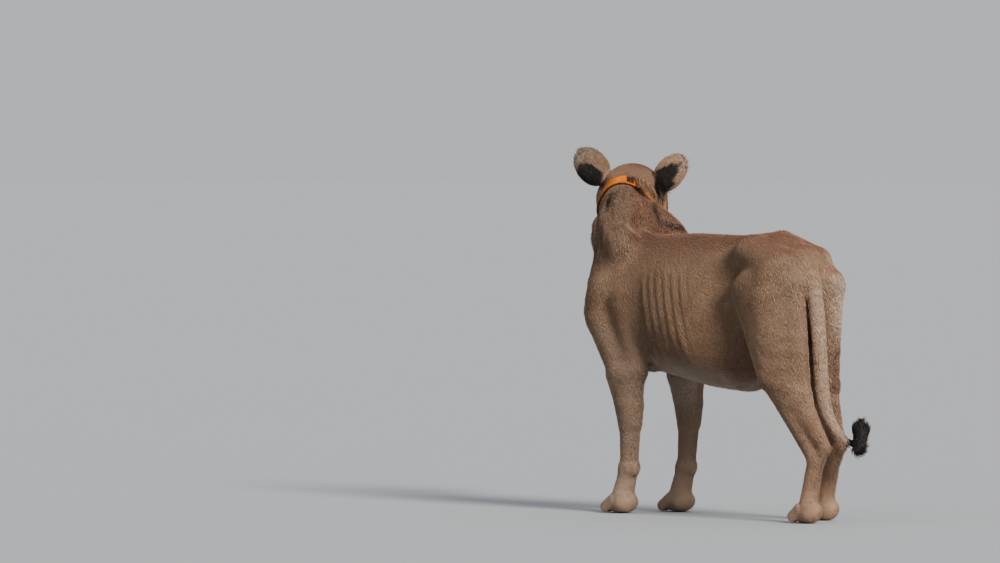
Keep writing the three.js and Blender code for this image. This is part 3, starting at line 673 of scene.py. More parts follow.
# the sculpt's own origin is off the frame's by this much, read at the left eye
eyeLow, eyeHigh = (np.array(corner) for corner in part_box("eye_left"))
shift = (eyeLow + eyeHigh) / 2 / mm - onHead(eyeCentre(1))


def toFrame(p):
    return (np.asarray(p, float) + shift) * mm


def toSculpt(p):
    return np.asarray(p, float) / mm - shift


def fineDistance(p):
    d = skinDistance(p, thinEars) + relief(p)
    q = intoHead(p)
    face = (q[:, 1] < 60) & (lengths(q) < 210)
    d[face] = fleshDistance(foldParts, q[face], d[face])
    return d


# evens the points out among their neighbours
def evened(points, edges, share):
    count = np.bincount(edges.ravel(), minlength=len(points))[:, None]
    ends = np.concatenate([edges, edges[:, ::-1]])
    total = np.stack([np.bincount(ends[:, 0], points[ends[:, 1], n], len(points)) for n in range(3)], 1)
    return points + (total / count - points) * share


def nearPlaces(q, places, reach):
    return np.min([lengths(q - place) for place in places], axis=0) < reach


# finer faces where the form is smaller: head, ears and feet, then the face, then eyes and nose
def needsCut(step, places):
    q = intoHead(places)
    if step == 0:
        return (lengths(q - (0, 10, 0)) < 195) & (q[:, 1] < 190) | (places[:, 2] < 100)
    if step == 1:
        return (q[:, 1] < 14) & (lengths(q) < 200) & (np.abs(q[:, 0]) < 90) & (q[:, 2] < 44)
    sockets = pair(lambda s: vec(s * eyeSize["spread"], -22, 0))
    return nearPlaces(q, sockets, 27) | nearPlaces(q, [vec(0, -122, -54)], 34)


def refine(bm):
    for step in range(3):
        middles = toSculpt(np.array([face.calc_center_median() for face in bm.faces]))
        cut = needsCut(step, middles)
        chosen = {edge for face, take in zip(bm.faces, cut) if take for edge in face.edges}
        bmesh.ops.subdivide_edges(bm, edges=list(chosen), cuts=1, use_grid_fill=True)


def makeSkin():
    low, high, cell, blocks = (skinNet[key] for key in ("low", "high", "cell", "blocks"))
    counts = (np.ceil((high - low) / cell / blocks) * blocks).astype(int)
    values = gridValues(skinDistance, low, counts, cell, blocks)
    points, quads = surfaceNet(values, low, cell)
    points = drawnOnto(skinDistance, points, 2, 5)
    say(f"skin net of {len(points)} points")
    mesh = meshFrom("skin", toFrame(points), quads.tolist())
    edited(mesh, refine)
    edges = readRows(mesh.edges, "vertices", np.int32, 2)
    points = toSculpt(points3(mesh))
    for steps in (2, 1, 1):
        points = drawnOnto(fineDistance, evened(points, edges, 0.4), steps, 12)
    setPoints(mesh, toFrame(points))
    shadeSmooth(mesh)
    triangles = sum(len(polygon.vertices) - 2 for polygon in mesh.polygons)
    say(f"skin of {triangles} triangles")
    return linked("skin", mesh)


skin = makeSkin()


# the collar's place round the top of the neck, as the solids have it
collar = dict(centre=vec(-97, -529, 1017), axis=unit([-0.508, -0.587, 0.63]), width=50, thickness=5, sink=2,
              leather=(0.58, 0.13, 0.01), worn=(0.7, 0.26, 0.05), grime=(0.14, 0.045, 0.015))
napeWay = unit(vec(0, 0, 1) - collar["axis"] * collar["axis"][2])
sideWay = np.cross(collar["axis"], napeWay)


def normals3(mesh):
    return readRows(mesh.vertex_normals, "vector").astype(float)


def store(mesh, name, values):
    values = np.asarray(values, np.float32)
    kind = "FLOAT" if values.ndim == 1 else "FLOAT_VECTOR"
    attribute = mesh.attributes.new(name, kind, "POINT")
    attribute.data.foreach_set("value" if values.ndim == 1 else "vector", values.ravel())


# how far each place belongs to each group of flesh, adding up to 1
def groupShares(p, softness=22):
    distances = np.stack([fleshDistance(parts, p) for parts in groups.values()], 1)
    near = distances - distances.min(1, keepdims=True)
    share = np.exp(-near / softness)
    share /= share.sum(1, keepdims=True)
    return dict(zip(groups, share.T))


def bump(p, centre, radii, low=0.25, high=1):
    spread = lengths((p - centre) / radii)
    return fade(spread, low, high)


# falls off from a line through places
def nearLine(p, places, reach):
    best = np.full(len(p), 1e4)
    for a, b in zip(places[:-1], places[1:]):
        a, b = np.asarray(a, float), np.asarray(b, float)
        t = np.clip((p - a) @ (b - a) / ((b - a) @ (b - a)), 0, 1)
        best = np.minimum(best, lengths(p - a - t[:, None] * (b - a)))
    return fade(best, reach * 0.35, reach)


def wave(p, spacing, turn=0):
    x, y, z = (p / spacing).T
    return (np.sin(x * 1.7 + 1.3 * np.sin(y * 1.1 + turn)) + np.sin(y * 1.3 + 1.7 * np.sin(z * 0.9 + turn))
            + np.sin(z * 1.9 + 1.1 * np.sin(x * 1.4 - turn))) / 3


# the way the hair lies, along the skin
def lieOfCoat(p, n, share, q):
    outer = np.sign(p[:, 0])
    flow = np.zeros_like(p)

    def lay(name, way):
        way = np.broadcast_to(np.asarray(way, float), p.shape)
        flow[:] += share[name][:, None] * way / lengths(way, True)

    flat = np.abs(n[:, 0])
    lay("trunk", np.stack([0 * flat, 0 * flat + 1, -0.15 - 0.5 * flat], 1))
    down = unit(skeleton["neckBase"] - skeleton["neckTop"])
    lay("neck", down + (0, 0, -0.25))
    paw = fade(p[:, 2], 80, 140)
    for name in ("foreLeft", "foreRight"):
        lay(name, np.stack([0 * paw, 0.28 - 1.3 * paw, -1 + 0.6 * paw], 1))
    for name in ("hindLeft", "hindRight"):
        lay(name, np.stack([0.1 * outer * flat, 0.5 - 1.5 * paw, -0.9 + 0.5 * paw], 1))
    ahead = ramp(-q[:, 1], -40, 60)
    sink = -0.12 - 0.3 * (q[:, 2] < -70) + 0.3 * ahead * (q[:, 2] > -30)
    lay("head", np.stack([q[:, 0] * 0.012, 0 * ahead + 1, sink], 1) @ headAxes.T)
    for side, name in ((1, "earLeft"), (-1, "earRight")):
        lay(name, headAxes @ onSide(earSize["axis"], side))
    line = np.array([tailAt(stop) for stop in np.linspace(0, 1, 80)])
    nearest = np.concatenate([np.argmin(((chunk[:, None] - line[None]) ** 2).sum(2), 1)
                              for chunk in np.array_split(p, 40)])
    lay("tail", np.gradient(line, axis=0)[nearest])
    across = np.cross(n, flow)
    flow += 0.22 * wave(p, 46)[:, None] * across + 0.1 * wave(p, 17, 2)[:, None] * across
    flow -= n * (flow * n).sum(1, keepdims=True)
    return flow / np.maximum(lengths(flow, True), 1e-6), nearest / 79


# length and width of the hair on each group of flesh, in millimetres
coatMap = dict(
    length=dict(trunk=21, neck=25, head=11, foreLeft=15, foreRight=15, hindLeft=18, hindRight=18,
                earLeft=9, earRight=9, tail=15),
    width=dict(trunk=2.3, neck=2.4, head=1.8, foreLeft=2.1, foreRight=2.1, hindLeft=2.3, hindRight=2.3,
               earLeft=1.7, earRight=1.7, tail=2.1),
)


# keeps the hair's lie, size and cover and the coat's markings on the skin's points
def mapCoat(mesh):
    p, n = toSculpt(points3(mesh)), normals3(mesh)
    q = intoHead(p)
    share = groupShares(p)
    flow, alongTail = lieOfCoat(p, n, share, q)
    x, y, z = p.T
    nx, ny, nz = n.T
    hx, hy, hz = q.T
    hn = n @ headAxes
    mirrored = np.stack([np.abs(hx), hy, hz], 1)
    length, width = (sum(share[name] * value for name, value in coatMap[key].items())
                     for key in ("length", "width"))
    cover = np.ones(len(p))
    legs = sum(share[name] for name in ("foreLeft", "foreRight", "hindLeft", "hindRight"))
    fore = share["foreLeft"] + share["foreRight"]
    hind = share["hindLeft"] + share["hindRight"]
    head, tail, trunk, neck = share["head"], share["tail"], share["trunk"], share["neck"]
    paws = fade(z, 90, 200)
    under = ramp(-nz, 0.25, 0.85) * trunk
    inner = ramp(-nx * np.sign(x), 0.1, 0.7) * legs * ramp(z, 260, 420)
    chest = ramp(-ny, 0.5, 0.9) * (trunk + neck) * (y < -330)
    tuft = ramp(alongTail, 0.865, 0.9) * tail
    muzzle = ramp(-hy, 12, 60) * head
    cheek = bump(np.stack([np.abs(hx), np.abs(hy), hz], 1), vec(84, 96, -50), vec(46, 60, 62)) * head
    chin = bump(q, vec(0, -88, -140), vec(48, 44, 34)) * head
    length = length + under * 10 + inner * 5 + chest * 7 + cheek * 12 + chin * 7 + tuft * 19
    length = length * (1 - 0.5 * paws * legs) - muzzle * 5.5
    width = width * (1 - 0.3 * paws * legs) * (1 - 0.4 * muzzle) + tuft * 1.2

    # inside of the ears, their rims and backs
    darks, pales, rims, bares = [], [], [], []
    for side, name in ((1, "earLeft"), (-1, "earRight")):
        across, facing, axis = earAxes(side)
        local = q - onSide(earSize["base"], side)
        rise, front, out = local @ axis, hn @ facing, local @ across * -side
        own = share[name]
        inside = ramp(front, 0.1, 0.5) * own
        rim = ramp(rise - 0.25 * out, 64, 96) * own
        ragged = 0.2 * wave(p, 13) + 0.16 * wave(p, 6, 1)
        middle, half = ((31, 32), (44, 56)) if side > 0 else ((13, 47), (37, 56))
        narrow = half[0] * (1 - 0.35 * ramp(rise, 40, 90))
        patch = fade(np.hypot((out - middle[0]) / narrow, (rise - middle[1]) / half[1]) + ragged, 0.7, 1.2)
        darks.append(patch * ramp(-front, -0.3, 0.1) * own)
        pales.append(inside)
        rims.append(rim)
        length = length + inside * 9 + rim * 3
        cover = cover * (1 - 0.35 * inside * (rise > 24))
    insideEars = np.maximum(*pales)

    # redder back, streaks behind the legs
    back = ramp(nz, 0.2, 0.95)
    ruddy = back * (trunk + hind + neck * 0.9) * ramp(z, 640, 760)
    ruddy = ruddy + 0.75 * neck * ramp(nz + 0.4 * wave(p, 20, 1), -0.1, 0.8)
    ruddy = ruddy + head * ramp(hn[:, 2], 0.55, 0.95) * ramp(hy, 10, 60) * 0.7
    streaks = np.maximum(nearLine(p, [(-84, 604, 605), (-90, 594, 520), (-88, 588, 425)], 24),
                         nearLine(p, [(72, 592, 640), (76, 602, 520), (86, 640, 400)], 20))
    ruddy = np.clip(ruddy + 1.2 * streaks * hind * (0.6 + 0.8 * wave(p, 10)), 0, 1)

    # folds of the neck, drawn on the plane that faces the rear left; the crease and the lines at the nape are
    # painted shade in the folds, and the folded band and the ridge get painted highlight through lit
    slanted = np.stack([p @ alongRear, z, 0 * z], 1)

    def drawn(reach, *places):
        return nearLine(slanted, [(*place, 0) for place in places], reach)

    behind = ramp(n @ rearLeft, -0.1, 0.2) * (neck + trunk) * (y < -150)
    leftSide = fade(slanted[:, 0] + 8 * wave(p, 16), -236, -186)
    ruddy = ruddy * (1 - 0.6 * leftSide * behind * ramp(z, 780, 860))
    crease = drawn(15, (-200, 1052), (-180, 1040), (-153, 1013), (-141, 980), (-122, 946), (-78, 934),
                   (-16, 920))
    nape = np.maximum.reduce([strength * drawn(reach, *places) for strength, reach, places in (
        (0.5, 12, [(-280, 1040), (-291, 1008), (-296, 984)]),
        (0.3, 9, [(-252, 1062), (-266, 1040), (-276, 1008)]),
        (0.26, 9, [(-232, 1062), (-246, 1030), (-252, 1000)]),
        (0.3, 11, [(-288, 906), (-281, 870), (-276, 836)]),
        (0.24, 10, [(-322, 878), (-344, 830), (-362, 786)]))])
    # painted shade: the crease and the nape lines are darkened as shadow in the folds
    darks.append(behind * np.maximum(0.44 * crease, nape))
    folded = drawn(34, (-150, 1030), (-118, 985), (-70, 950))
    ruddy = np.clip(ruddy + behind * (0.5 * folded + 0.3 * crease), 0, 1)
    ridge = drawn(17, (-212, 1014), (-222, 975), (-230, 936), (-238, 890))
    crown = ramp(n @ rearLeft, -0.3, 0.2) * head
    darks.append(0.42 * crown * bump(slanted, vec(-268, 1140, 0), vec(46, 30, 1)))
    ruddy = np.clip(ruddy + crown * bump(slanted, vec(-200, 1142, 0), vec(44, 28, 1)), 0, 1)

    # pale belly, legs, chin and face, grey legs and tail, how brightly each place is lit
    nearEar = bump(q, vec(-70, 120, -30), vec(60, 70, 70)) * (head + neck + share["earRight"])
    length = length + 8 * bump(q, vec(-92, 110, -30), vec(40, 46, 46)) * head
    pales += [
        under * 0.85, inner * (0.75 * fore + 0.3 * hind), 0.5 * nearEar, chin,
        ramp(-hz, 92, 118) * head * 0.9,
        (0.3 + 0.3 * (x < 0)) * ramp(ny, 0.3, 0.9) * hind * ramp(z, 480, 640),
        bump(mirrored, vec(34, -98, -92), vec(46, 56, 40)) * head,
        bump(mirrored, vec(46, -24, -24), vec(26, 26, 15)) * head,
        bump(mirrored, vec(42, -22, 20), vec(17, 24, 9)) * head * 0.8,
    ]
    grey = 0.85 * tail * ramp(alongTail, 0.1, 0.25) + 0.5 * fore * (z < 620) + 0.25 * trunk * ramp(-nx, -1, 1)
    grey = np.clip(np.clip(grey, 0, 1) + 0.5 * leftSide * behind * neck, 0, 1)
    flank = ramp(np.abs(nx), 0.3, 0.8) * trunk * ramp(y, -260, -160)
    lit = 1 + 0.22 * back * (hind + trunk * ramp(y, 300, 420)) + 0.42 * tail + 0.8 * tuft
    lit = lit + 0.16 * head + 0.2 * behind * folded + 0.08 * hind * fade(z, 420, 520)
    lit = lit + 0.28 * hind * (x < 0) * ramp(ny, 0.2, 0.8) * ramp(z, 480, 640)
    lit = lit - flank * (0.04 + 0.1 * fade(z, 500, 640)) + 0.16 * behind * ridge
    lit = lit - 0.24 * leftSide * behind * neck * ramp(z, 780, 860)
    darks += [tuft, 0.75 * nearLine(p, [(112, 506, 752), (104, 530, 745)], 9) * hind]
    for x0, y0, z0, z1 in ((58, 262, 404, 396), (56, 330, 414, 404)):
        for side in (1, -1):
            darks.append(nearLine(p, [(side * x0, y0, z0), (side * x0, y0, z1)], 22) * trunk * 0.9)

    # bare rims of the eyes, lips, nose and pads, and rows of whisker spots
    for side in (1, -1):
        eye = eyeCentre(side)
        gaze, across, up = eyeFrame(side)
        local = q - eye - gaze * eyeSize["radius"]
        sizes = ((across, lids["width"] + 4), (up, lids["height"] + 4), (gaze, 18))
        bares.append(fade(np.sqrt(sum((local @ way / size) ** 2 for way, size in sizes)), 0.85, 1.15))
        corner = eye + gaze * 17 - across * 16 - up * 2
        tear = nearLine(q, onFace([corner, corner + (-side * 5, -8, -9), (side * 25, -46, -28)]), 9)
        darks.append(0.8 * tear * head)
    down = np.clip((-36 - hz) / 32, 0, 1)
    nose = ramp(-hy, 96, 106) * fade(np.abs(hx) - (25 - 15 * down ** 1.5), -3, 3)
    nose = nose * ramp(hz, -73, -66) * fade(hz + 29 + hx ** 2 / 75, -3, 3)
    bares += [nose, nearLine(mirrored, onFace([(0, -130, -62), (0, -128, -96)]), 6),
              nearLine(mirrored, onFace(mouthLine), 9), ramp(-nz, 0.7, 0.95) * (z < 3)]
    rows = 0.5 + 0.5 * np.sin(hz / 8.5 * 2 * math.pi)
    dots = ramp(rows * (0.5 + 0.5 * np.sin(hy / 11 * 2 * math.pi)), 0.62, 0.9)
    darks.append(0.6 * dots * bump(mirrored, vec(50, -88, -78), vec(30, 34, 22)) * head)
    bare = np.clip(np.maximum.reduce(bares), 0, 1)
    cover = cover * fade(bare, 0.25, 0.6)

    # no hair under the strap; right of the clasp long hair is swept over it
    ways = p - collar["centre"]
    along = ways @ collar["axis"]
    onNeck = lengths(ways - along[:, None] * collar["axis"]) < 150
    ahead = along - collar["width"] / 2
    turn = np.arctan2(ways @ sideWay, ways @ napeWay)
    swept = onNeck * ramp(turn, 0.54, 0.66) * fade(turn, 1.9, 2.3)
    swept = swept * ramp(ahead, -56, -40) * fade(ahead, 22, 38) * ramp(head + neck, 0.1, 0.4)
    flow = flow * (1 - swept[:, None]) - swept[:, None] * collar["axis"]
    flow = flow - n * (flow * n).sum(1, keepdims=True)
    flow = flow / np.maximum(lengths(flow, True), 1e-6)
    cover = cover * (1 - onNeck * (np.abs(along) < collar["width"] / 2 - 1) * (1 - swept))
    short = np.minimum(length, np.maximum(ahead, 0) * 1.02 + 5)
    length = np.where(onNeck & (ahead > -2), short, length)
    length = length + (56 - length) * swept
    width = width * (1 + 0.3 * swept)
    lift = 1 + 3.3 * swept + 0.6 * insideEars - 0.3 * tuft - 0.35 * muzzle
    length = length * (1 - 0.5 * nearPlaces(q, pair(lambda s: vec(s * eyeSize["spread"], -20, 0)), 30))

    pale, dark = (np.clip(np.maximum.reduce(parts), 0, 1) for parts in (pales, darks))
    kept = dict(lie=flow, up=n, furLength=length * mm, furWidth=width * mm, cover=cover, raised=lift,
                ruddy=ruddy, pale=pale, dark=dark, grey=grey, bare=bare, grizzle=np.maximum(*rims), lit=lit,
                upright=legs + tail)
    for name, values in kept.items():
        store(mesh, name, values)
    corners = [polygon.vertices[0] for polygon in mesh.polygons]
    region = mesh.attributes.new("region", "INT", "FACE")
    region.data.foreach_set("value", regionOf(p, share, alongTail)[corners].astype(np.int32))


# the coat is grown in pieces; each place of the skin belongs to one
firstRegion = dict(trunk=0, neck=4, head=6, foreLeft=8, foreRight=8, hindLeft=9, hindRight=10,
                   earLeft=11, earRight=11, tail=12)


def regionOf(p, share, alongTail):
    group = np.argmax(np.stack(list(share.values()), 1), axis=1)
    first = np.array([firstRegion[name] for name in share])[group]
    region = first + (p[:, 0] > 0) * np.isin(first, (0, 4)) + (intoHead(p)[:, 0] > 0) * (first == 6)
    region += 2 * (p[:, 1] > 20) * (first == 0)
    region[(region == 12) & (alongTail > 0.855)] = 13
    return region


def unwrap(piece):
    bpy.context.view_layer.objects.active = piece
    piece.select_set(True)
    piece.data.uv_layers.new(name="OFBake")
    bpy.ops.object.mode_set(mode="EDIT")
    bpy.ops.mesh.select_all(action="SELECT")
    bpy.ops.uv.smart_project(angle_limit=math.radians(66), island_margin=0.002)
    bpy.ops.object.mode_set(mode="OBJECT")


mapCoat(skin.data)
unwrap(skin)
say("coat mapped and skin unwrapped")


# sockets of a node tree that can be written in sums
class Wire:
    def __init__(self, tree, socket):
        self.tree = tree
        self.socket = socket

    def math(self, operation, *others):
        return self.tree.node("ShaderNodeMath", dict(operation=operation), dict(enumerate((self, *others))))

    def __add__(self, other):
        return self.math("ADD", other)

    def __sub__(self, other):
        return self.math("SUBTRACT", other)

    def __rsub__(self, other):
        return self.tree.node("ShaderNodeMath", dict(operation="SUBTRACT"), {0: other, 1: self})

    def __mul__(self, other):
        return self.math("MULTIPLY", other)

    __radd__ = __add__
    __rmul__ = __mul__

    def above(self, low, high):
        smooth = dict(interpolation_type="SMOOTHSTEP")
        return self.tree.node("ShaderNodeMapRange", smooth, {0: self, 1: low, 2: high})


class Tree:
    def __init__(self, nodeTree):
        self.nodeTree = nodeTree

    def node(self, kind, settings=None, inputs=None, output=0):
        made = self.nodeTree.nodes.new(kind)
        for key, value in (settings or {}).items():
            setattr(made, key, value)
        for key, value in (inputs or {}).items():
            if isinstance(value, Wire):
                self.nodeTree.links.new(value.socket, made.inputs[key])
            else:
                made.inputs[key].default_value = value
        return Wire(self, made.outputs[output]) if made.outputs else made

    def vector(self, operation, *parts, output=0):
        return self.node("ShaderNodeVectorMath", dict(operation=operation), dict(enumerate(parts)), output)

    def stretched(self, v, amount):
        return self.node("ShaderNodeVectorMath", dict(operation="SCALE"), {0: v, 3: amount})


class Look(Tree):
    def __init__(self, name):
        self.material = bpy.data.materials.new(name)
        self.material.use_nodes = True
        super().__init__(self.material.node_tree)
        self.nodeTree.nodes.clear()
        self.place = self.node("ShaderNodeTexCoord", output=3)

    def attribute(self, name, output=2):
        return self.node("ShaderNodeAttribute", dict(attribute_name=name), {}, output)

    def noise(self, scale, detail=3, rough=0.6, stretch=None):
        place = self.vector("MULTIPLY", self.place, stretch) if stretch else self.place
        inputs = dict(Vector=place, Scale=scale, Detail=detail, Roughness=rough)
        return self.node("ShaderNodeTexNoise", {}, inputs)

    def cells(self, feature, scale):
        return self.node("ShaderNodeTexVoronoi", dict(feature=feature), dict(Vector=self.place, Scale=scale))

    def mix(self, factor, a, b, way="MIX"):
        a, b = ((*v, 1) if isinstance(v, tuple) else v for v in (a, b))
        return self.node("ShaderNodeMix", dict(data_type="RGBA", blend_type=way), {0: factor, 6: a, 7: b}, 2)

    def bump(self, height, distance, strength=1.0):
        return self.node("ShaderNodeBump", {}, dict(Height=height, Distance=distance, Strength=strength))

    def finish(self, colour, roughness, normal=None, **constants):
        inputs = {"Base Color": colour, "Roughness": roughness}
        inputs.update({key.replace("_", " "): value for key, value in constants.items()})
        if normal:
            inputs["Normal"] = normal
        surface = self.node("ShaderNodeBsdfPrincipled", {}, inputs)
        self.node("ShaderNodeOutputMaterial", {}, dict(Surface=surface))
        return self.material


# the coat's colours, the same for skin and tufts
fur = dict(tan=(0.33, 0.208, 0.138), sand=(0.41, 0.28, 0.195), ruddy=(0.27, 0.15, 0.1),
           grey=(0.46, 0.355, 0.28), pale=(0.66, 0.55, 0.46), grizzled=(0.42, 0.3, 0.22),
           mottle=(0.09, 0.055, 0.038), dark=(0.022, 0.018, 0.017), leather=(0.045, 0.026, 0.022),
           underShade=0.8)


def coatColour(look):
    broad = look.noise(5.5, 4)
    patchy = look.noise(26, 3)
    fine = look.noise(210, 2, 0.7)
    colour = look.mix((broad * 1.5 + patchy * 0.6).above(0.7, 1.45), fur["tan"], fur["sand"])
    colour = look.mix(look.attribute("grey") * 0.85, colour, fur["grey"])
    colour = look.mix((look.attribute("ruddy") * (0.5 + patchy)).above(0.05, 0.95), colour, fur["ruddy"])
    colour = look.mix((look.attribute("pale") * (0.75 + 0.5 * patchy)).above(0.1, 1), colour, fur["pale"])
    colour = look.mix((look.attribute("grizzle") * (0.4 + fine)).above(0.15, 0.85), colour, fur["grizzled"])
    mottled = look.noise(70, 3, 0.65).above(0.47, 0.64) * look.attribute("grizzle")
    colour = look.mix(mottled * 0.7, colour, fur["mottle"])
    flecks = fine.above(0.6, 0.76) * 0.3
    # the dark attribute holds the black markings and also painted shade along the neck's crease and nape
    # folds
    dark = look.attribute("dark")
    edges = (look.noise(130, 3, 0.7) - 0.5) * dark.above(0, 0.3) * 0.9
    darkness = (dark * 1.15 + edges + flecks * (1 - look.attribute("pale"))).above(0.1, 0.85)
    colour = look.mix(darkness, colour, fur["dark"])
    return look.stretched(colour, (0.86 + broad * 0.28) * look.attribute("lit"))


def skinFinish():
    look = Look("lioness_skin")
    colour = look.stretched(coatColour(look), fur["underShade"])
    bare = look.attribute("bare").above(0.3, 0.7)
    colour = look.mix(bare, colour, fur["leather"])
    lying = look.noise(1, 3, 0.65, (420, 90, 230))
    standing = look.noise(1, 3, 0.65, (420, 360, 90))
    upright = look.attribute("upright")
    hair = lying * (1 - upright) + standing * upright
    grain = look.cells("DISTANCE_TO_EDGE", 620)
    height = hair * (1 - bare) + grain * bare * 0.8
    roughness = 0.82 - bare * 0.42 + (look.noise(60) - 0.5) * 0.1
    return look.finish(colour, roughness, look.bump(height, 0.0016, 0.8), Sheen_Weight=0.12,
                       Sheen_Roughness=0.5, Specular_IOR_Level=0.3)


def coatFinish():
    look = Look("lioness_coat")
    tone = look.attribute("tone")
    colour = coatColour(look)
    colour = look.mix((tone * 3).above(2.2, 3) * 0.3, colour, look.stretched(colour, 0.45))
    colour = look.mix(look.attribute("shade").above(0.35, 0.8) * 0.35, colour, fur["sand"])
    colour = look.mix((look.attribute("dark") + tone * 0.5).above(0.6, 0.85), colour, fur["dark"])
    along = look.attribute("patch", 1)
    tip = look.node("ShaderNodeSeparateXYZ", {}, {0: along}, 2)
    colour = look.stretched(colour, 0.78 + tone * 0.22 + tip * 0.16)
    return look.finish(colour, 0.72 + look.attribute("shade") * 0.16, Sheen_Weight=0.15,
                       Sheen_Roughness=0.4, Specular_IOR_Level=0.3)


# one tuft: a thin closed blade along Z that bows away from the skin along X
def tuftMesh(name, rings, bow):
    steps = [(step + 1) / (rings + 1.6) for step in range(rings)]
    places, patches = [(0, 0, 0)], [(0.5, 0, 0)]
    for t in steps:
        half = 0.5 * math.sin(math.pi * min(t * 1.25 + 0.08, 1)) ** 0.6
        out = bow * math.sin(math.pi * t)
        places += [(out - 0.15, -half, t), (out - 0.15, half, t), (out + 0.5, 0, t)]
        patches += [(0, t, t), (1, t, t), (0.5, t + 0.15, t)]
    places.append((bow * 0.1, 0, 1))
    patches.append((0.5, 1, 1))
    top, last = len(places) - 4, len(places) - 1
    sides = ((0, 1), (1, 2), (2, 0))
    faces = [(0, 1 + j, 1 + i) for i, j in sides]
    for a in range(1, top, 3):
        for i, j in sides:
            faces += [(a + i, a + j, a + 3 + i), (a + j, a + 3 + j, a + 3 + i)]
    faces += [(top + i, top + j, last) for i, j in sides]
    mesh = closedMesh(name, places, faces)
    store(mesh, "patch", np.array(patches))
    return linked(name, mesh)


class Group(Tree):
    def __init__(self, name, **inputs):
        super().__init__(bpy.data.node_groups.new(name, "GeometryNodeTree"))
        self.nodeTree.interface.new_socket("Geometry", in_out="OUTPUT", socket_type="NodeSocketGeometry")
        made = [self.nodeTree.interface.new_socket(key, in_out="INPUT", socket_type="NodeSocket" + kind)
                for key, kind in inputs.items()]
        self.keys = {item.name: item.identifier for item in made}
        given = self.nodeTree.nodes.new("NodeGroupInput")
        self.given = {item.name: Wire(self, given.outputs[number]) for number, item in enumerate(made)}

    def named(self, name, kind="FLOAT"):
        return self.node("GeometryNodeInputNamedAttribute", dict(data_type=kind), dict(Name=name))

    def randomValue(self, low, high, seed):
        inputs = {2: low, 3: high, "Seed": seed}
        return self.node("FunctionNodeRandomValue", dict(data_type="FLOAT"), inputs, 1)

    def keep(self, geometry, name, value, kind="FLOAT", domain="POINT"):
        return self.node("GeometryNodeStoreNamedAttribute", dict(data_type=kind, domain=domain),
                         dict(Geometry=geometry, Name=name, Value=value))

    # one object on every point, its Z axis on one way and its X axis towards another
    def instances(self, points, instance, upWay, aheadWay, scale):
        kind = "FunctionNodeAlignRotationToVector"
        turn = self.node(kind, dict(axis="Z"), dict(Vector=upWay))
        turn = self.node(kind, dict(axis="X", pivot_axis="Z"), dict(Rotation=turn, Vector=aheadWay))
        part = self.node("GeometryNodeObjectInfo", {}, dict(Object=instance), "Geometry")
        whole = self.node("GeometryNodeInstanceOnPoints", {},
                          dict(Points=points, Instance=part, Rotation=turn, Scale=scale))
        return self.node("GeometryNodeRealizeInstances", {}, dict(Geometry=whole))

    def end(self, geometry):
        inputs = dict(Geometry=geometry, Material=self.given["Material"])
        self.node("NodeGroupOutput", {}, {0: self.node("GeometryNodeSetMaterial", {}, inputs)})

    # runs the tree on a mesh and turns what it makes into a plain mesh
    def made(self, name, mesh, **values):
        piece = linked(name, mesh)
        modifier = piece.modifiers.new("made", "NODES")
        modifier.node_group = self.nodeTree
        for key, value in values.items():
            modifier[self.keys[key]] = value
        whole = bpy.data.meshes.new_from_object(piece.evaluated_get(bpy.context.evaluated_depsgraph_get()))
        piece.modifiers.clear()
        piece.data = whole
        whole.name = name
        return piece


def coatGroup():
    group = Group("coatOfTufts", Skin="Geometry", Tuft="Object", Region="Int", Spacing="Float", Lift="Float",
                  Wildness="Float", Seed="Int", Material="Material")
    given = group.given
    chosen = group.node("FunctionNodeCompare", dict(data_type="INT", operation="EQUAL"),
                        {2: group.named("region", "INT"), 3: given["Region"]})
    points = group.node("GeometryNodeDistributePointsOnFaces", dict(distribute_method="POISSON"),
                        {"Mesh": given["Skin"], "Selection": chosen, "Distance Min": given["Spacing"],
                         "Density Max": group.node("ShaderNodeMath", dict(operation="DIVIDE"),
                                                   {0: 1.6, 1: given["Spacing"] * given["Spacing"]}),
                         "Density Factor": group.named("cover"), "Seed": given["Seed"]})
    for name, seed in (("tone", 3), ("shade", 4)):
        points = group.keep(points, name, group.randomValue(0.0, 1.0, seed))
    points = group.keep(points, "rootMap", group.named("OFBake", "FLOAT_VECTOR"), "FLOAT_VECTOR")
    points = group.node("GeometryNodeRemoveAttribute", {}, dict(Geometry=points, Name="OFBake"))
    up, lie = (group.named(name, "FLOAT_VECTOR") for name in ("up", "lie"))
    across = group.vector("CROSS_PRODUCT", up, lie)
    lift = given["Lift"] * group.named("raised") * group.randomValue(0.6, 1.5, 5)
    aside = given["Wildness"] * group.randomValue(-1.0, 1.0, 6)
    way = group.vector("ADD", lie, group.stretched(up, lift))
    way = group.vector("ADD", way, group.stretched(across, aside))
    wide = group.named("furWidth") * group.randomValue(0.75, 1.25, 7)
    tall = group.named("furLength") * group.randomValue(0.7, 1.15, 8)
    size = group.node("ShaderNodeCombineXYZ", {}, {0: wide * 0.42, 1: wide, 2: tall})
    coat = group.instances(points, given["Tuft"], way, up, size)
    patch = group.vector("SUBTRACT", group.named("patch", "FLOAT_VECTOR"), (0.5, 0.5, 0))
    patch = group.vector("MULTIPLY", patch, (0.003, 0.003, 0))
    mapped = group.vector("ADD", group.named("rootMap", "FLOAT_VECTOR"), patch)
    coat = group.keep(coat, "OFBake", mapped, "FLOAT2", "CORNER")
    group.end(coat)
    return group


